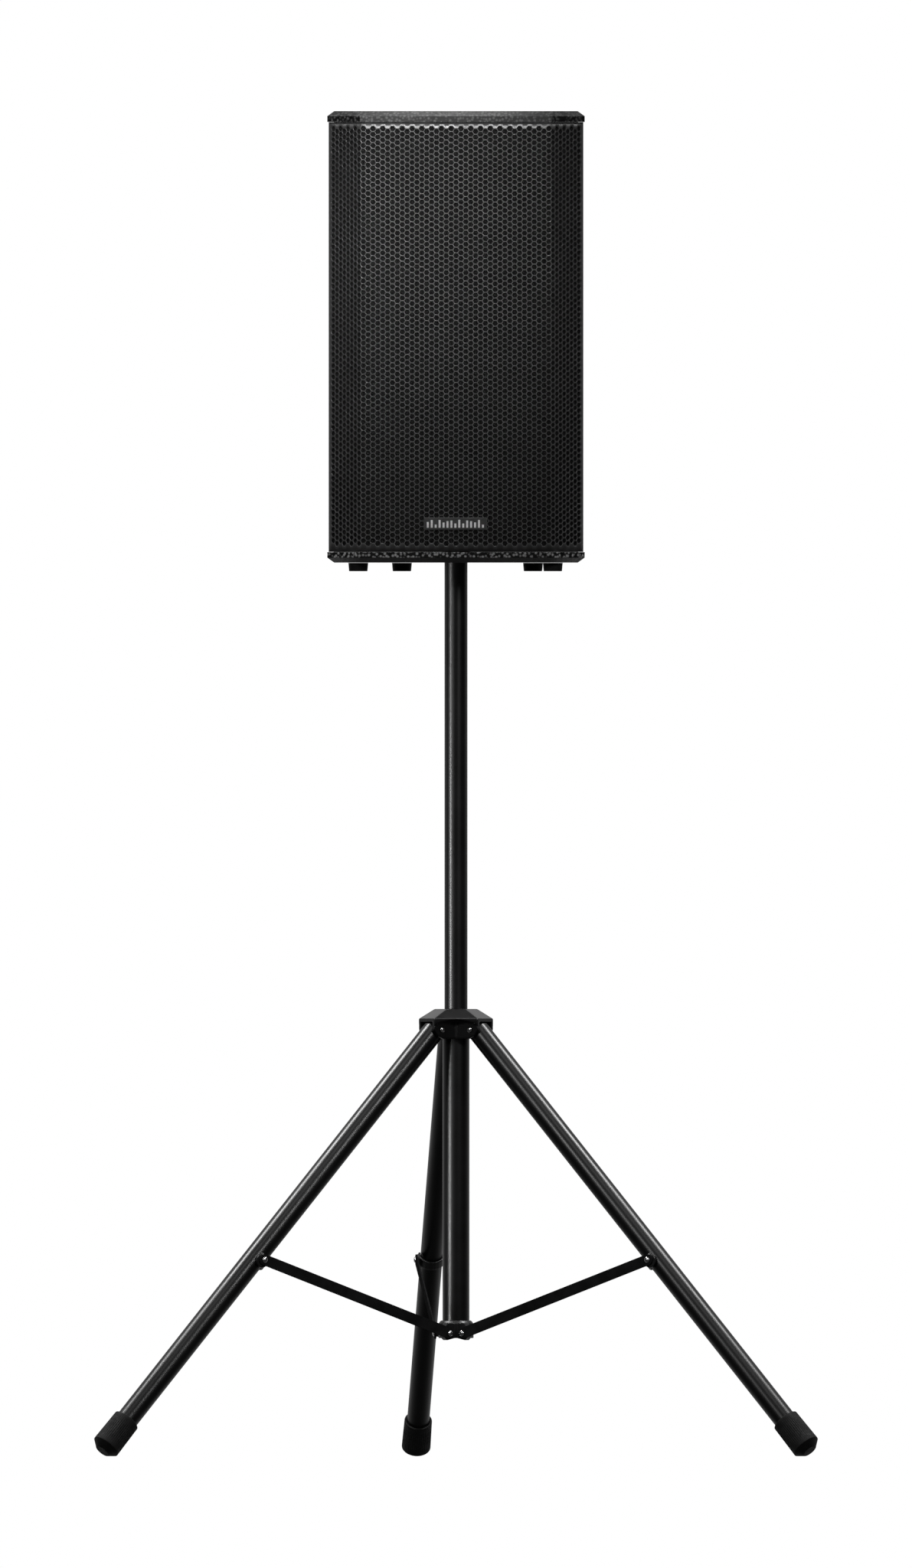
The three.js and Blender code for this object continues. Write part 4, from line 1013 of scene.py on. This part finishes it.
def knob(node, flutes):
    """A turned knob with a fluted grip, a skirt and a pointer line."""
    low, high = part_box(node)
    joint = next(j for j in JOINTS.values() if j["child"] == node)
    x, _, z = joint["pos_m"]
    radius = (high.x - low.x) / 2
    length = high.y - PLATE_FACE
    profile = rounded(
        [
            (0, 0.6 * MM),
            (radius, 0.6 * MM),
            (radius, 2.4 * MM),
            (radius - 1.2 * MM, 3.4 * MM),
            (radius - 1.6 * MM, length - 0.3 * MM),
            (radius - 2.8 * MM, length),
            (0, length - 0.3 * MM),
        ],
        0.6 * MM,
    )

    def grip(reach, height):
        fluted = radius - 2.4 * MM < reach < radius - 0.9 * MM and height > 3.5 * MM
        return (FLUTE_DEPTH, flutes) if fluted else (0, 0)

    bm = bmesh.new()
    lathe(bm, profile, flutes * 6, on_panel(x, z), grip)
    lathe(bm, [(KNOB_SHAFT_RADIUS, -11 * MM), (KNOB_SHAFT_RADIUS, 1 * MM)], 24, on_panel(x, z))
    add_piece(f"{node}_turned", bm, node, "black_plastic", node)
    bm = bmesh.new()
    plate(bm, 0.9 * MM, radius * 0.7, 0.3 * MM, on_panel(x, z + radius * 0.45, length - 0.1 * MM))
    add_piece(f"{node}_pointer", bm, node, None, finish="silver_print")


def knob_ticks():
    """Printed ticks round each level knob."""
    bm = bmesh.new()
    for number in (1, 2):
        x, _, z = JOINTS[f"level_{number}_turn"]["pos_m"]
        for i in range(TICKS):
            turn = Matrix.Rotation(math.radians(TICK_START + TICK_STEP * i), 4, "Z")
            place = on_panel(x, z) @ turn @ Matrix.Translation((0, TICK_CIRCLE, 0))
            plate(bm, 0.5 * MM, 2.0 * MM, 0.06 * MM, place)
    add_piece("knob_ticks", bm, "speaker", None, finish="silver_print")


def socket_details(node):
    """The contacts inside a round socket, the rim round its mouth and its two screws."""
    low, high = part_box(node)
    x, z = (low.x + high.x) / 2, (low.z + high.z) / 2
    bm = bmesh.new()
    contact = rounded(
        [(0, -22 * MM), (CONTACT_RADIUS, -22 * MM), (CONTACT_RADIUS, -10 * MM), (0, -9 * MM)],
        0.4 * MM,
    )
    for i in range(CONTACTS):
        angle = math.radians(90 + 120 * i)
        x_pin = x + CONTACT_CIRCLE * math.cos(angle)
        z_pin = z + CONTACT_CIRCLE * math.sin(angle)
        lathe(bm, contact, 16, on_panel(x_pin, z_pin))
    x_screw, z_screw = SOCKET_SCREW_PLACE
    for turn in (-1, 1):
        place = (x + turn * x_screw, PLATE_FACE + SOCKET_FLANGE, z + turn * z_screw)
        screw_head(bm, place, BACK, 1.6 * MM)
    add_piece(f"{node}_contacts", bm, "speaker", "bright_steel")
    bm = bmesh.new()
    rim = rounded(
        [
            (SOCKET_MOUTH_RADIUS, SOCKET_FLANGE),
            (SOCKET_MOUTH_RADIUS + 2.4 * MM, SOCKET_FLANGE),
            (SOCKET_MOUTH_RADIUS + 1.6 * MM, SOCKET_FLANGE + 1.2 * MM),
            (SOCKET_MOUTH_RADIUS + 0.4 * MM, SOCKET_FLANGE + 1.2 * MM),
        ],
        0.4 * MM,
    )
    closed_lathe(bm, rim, 48, on_panel(x, z))
    add_piece(f"{node}_rim", bm, "speaker", "black_plastic")


def mains_blades():
    """The three flat blades inside the mains inlet."""
    low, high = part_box("mains_inlet")
    x, z = (low.x + high.x) / 2, (low.z + high.z) / 2
    bm = bmesh.new()
    for dx, dz in ((-7 * MM, -1.5 * MM), (0, 2.5 * MM), (7 * MM, -1.5 * MM)):
        plate(bm, 2 * MM, 4 * MM, 12 * MM, on_panel(x + dx, z + dz, -17 * MM))
    add_piece("mains_blades", bm, "speaker", "bright_steel")


def status_lamp():
    """A small round lens under the menu knob."""
    bm = bmesh.new()
    x, _, z = JOINTS["menu_turn"]["pos_m"]
    lens = rounded([(2.6 * MM, 0), (2.6 * MM, 0.8 * MM), (1.8 * MM, 1.2 * MM), (0, 1.9 * MM)], 0.4 * MM)
    lathe(bm, lens, 24, on_panel(x, z - LAMP_BELOW_MENU))
    add_piece("status_lamp", bm, "speaker", "black_plastic")


panel_screws()
knob("level_knob_1", LEVEL_FLUTES)
knob("level_knob_2", LEVEL_FLUTES)
knob("menu_knob", MENU_FLUTES)
knob_ticks()
for socket_node in ("input_socket_1", "input_socket_2", "link_socket"):
    socket_details(socket_node)
mains_blades()
status_lamp()

# ---------------------------------------------------------------- floor, light and camera


FLOOR_SIZE = 14
FLOOR_BELOW = 0.5 * MM
SURROUND_FRONT, SURROUND_BACK = 0.03, 0.42  # brightness of what the surround throws on the object
RAMP_START, RAMP_END = -0.1, 0.9
VIEW_DISTANCE = 6
VIEW_HEIGHT = 1.0244
VIEW_SPAN = 2.3894


def sheet_floor():
    """A pale floor under the stand."""
    bpy.ops.mesh.primitive_plane_add(size=FLOOR_SIZE, location=(0, 0, -FLOOR_BELOW))
    floor = bpy.context.object
    floor.name = "floor"
    finish = Finish("floor", grey(0.8), 0.6, specular=0.2)
    finish.vary_color(finish.grain(0.9), grey(0.78), grey(0.82))
    floor.data.materials.append(finish.material)
    # it is there to stand on and to be seen, and throws no light up at the object
    floor.visible_diffuse = False
    floor.visible_glossy = False


def softbox(name, place, target, size, power, spread, lit=()):
    """An area light that keeps to a cone of so many degrees, and to the given objects if there are any."""
    light = bpy.data.lights.new(name, "AREA")
    light.shape = "RECTANGLE"
    light.size, light.size_y = size
    light.energy = power
    light.spread = math.radians(spread)
    lamp = bpy.data.objects.new(name, light)
    lamp.location = place
    lamp.rotation_euler = (Vector(target) - Vector(place)).to_track_quat("-Z", "Y").to_euler()
    lamp.visible_camera = False
    bpy.context.scene.collection.objects.link(lamp)
    if lit:
        receivers = bpy.data.collections.new(f"{name}_lit")
        for shown in lit:
            receivers.objects.link(bpy.data.objects[shown])
        lamp.light_linking.receiver_collection = receivers


def studio():
    """A white surround for the camera, a dimmer one for the lighting, brighter behind the object."""
    world = bpy.data.worlds.new("studio")
    bpy.context.scene.world = world
    world.use_nodes = True
    tree = world.node_tree
    nodes, links = tree.nodes, tree.links
    nodes.clear()
    output = nodes.new("ShaderNodeOutputWorld")
    seen = nodes.new("ShaderNodeBackground")
    seen.inputs["Color"].default_value = (1, 1, 1, 1)
    lit = nodes.new("ShaderNodeBackground")
    lit.inputs["Strength"].default_value = 1
    mix = nodes.new("ShaderNodeMixShader")
    rays = nodes.new("ShaderNodeLightPath")
    coords = nodes.new("ShaderNodeTexCoord")
    split = nodes.new("ShaderNodeSeparateXYZ")
    ramp = nodes.new("ShaderNodeMapRange")
    ramp.interpolation_type = "SMOOTHSTEP"
    ramp.inputs["From Min"].default_value = RAMP_START
    ramp.inputs["From Max"].default_value = RAMP_END
    ramp.inputs["To Min"].default_value = SURROUND_FRONT
    ramp.inputs["To Max"].default_value = SURROUND_BACK
    links.new(coords.outputs["Generated"], split.inputs["Vector"])
    links.new(split.outputs["Y"], ramp.inputs["Value"])
    links.new(ramp.outputs["Result"], lit.inputs["Color"])
    links.new(rays.outputs["Is Camera Ray"], mix.inputs["Fac"])
    links.new(lit.outputs["Background"], mix.inputs[1])
    links.new(seen.outputs["Background"], mix.inputs[2])
    links.new(mix.outputs["Shader"], output.inputs["Surface"])


def camera():
    """A parallel view from the front."""
    data = bpy.data.cameras.new("camera")
    data.type = "ORTHO"
    data.ortho_scale = VIEW_SPAN
    viewer = bpy.data.objects.new("camera", data)
    viewer.location = (0, -VIEW_DISTANCE, VIEW_HEIGHT)
    viewer.rotation_euler = (math.radians(90), 0, 0)
    bpy.context.scene.collection.objects.link(viewer)
    bpy.context.scene.camera = viewer


sheet_floor()
studio()
# the grille and the edges of the top panel
softbox("key", (-0.04, -1.64, 2.61), (-0.19, -0.335, 1.91), size=(0.35, 0.35), power=2.3, spread=39)
softbox("hair", (-0.1, 0.1, 3.3), (-0.05, -0.33, 2.05), size=(0.8, 0.3), power=0.8, spread=60)
# the stripe on the upright tubes
softbox(
    "tube_strip",
    (-2.9, -2.1, 0.6),
    (0, 0, 0.6),
    size=(0.35, 1.1),
    power=8,
    spread=60,
    lit=("column_tube_round", "pole_tube_round"),
)
# the upper stripes on the legs
softbox("top_left", (-2.11, 0.19, 3.6), (-0.3, -0.15, 0.3), size=(0.8, 0.8), power=8, spread=50)
softbox("top_right", (2.0, -0.1, 3.65), (0.3, -0.15, 0.3), size=(0.8, 0.8), power=7, spread=50)
# the hoods of the yoke
softbox("back_left", (-0.7, 2.45, 2.0), (0, -0.15, 0.67), size=(0.5, 0.5), power=0.007, spread=14)
softbox("back_right", (0.7, 2.45, 2.0), (0, -0.15, 0.67), size=(0.5, 0.5), power=0.007, spread=14)
softbox("yoke_top", (0, -0.34, 1.32), (0, -0.19, 0.67), size=(0.12, 0.08), power=0.004, spread=18)
# the stand as a whole, and the lower stripes on the legs
softbox("front_top", (0, -2.3, 3.5), (0, -0.15, 0.25), size=(1.8, 1.4), power=0.7, spread=34)
softbox("front_left", (-2.0, -3.1, 2.0), (0, -0.15, 0.4), size=(0.5, 0.5), power=2.8, spread=60)
softbox("front_right", (1.7, -3.2, 2.2), (0, -0.15, 0.4), size=(0.5, 0.5), power=2.8, spread=60)
camera()
bpy.context.scene.view_settings.view_transform = "Standard"
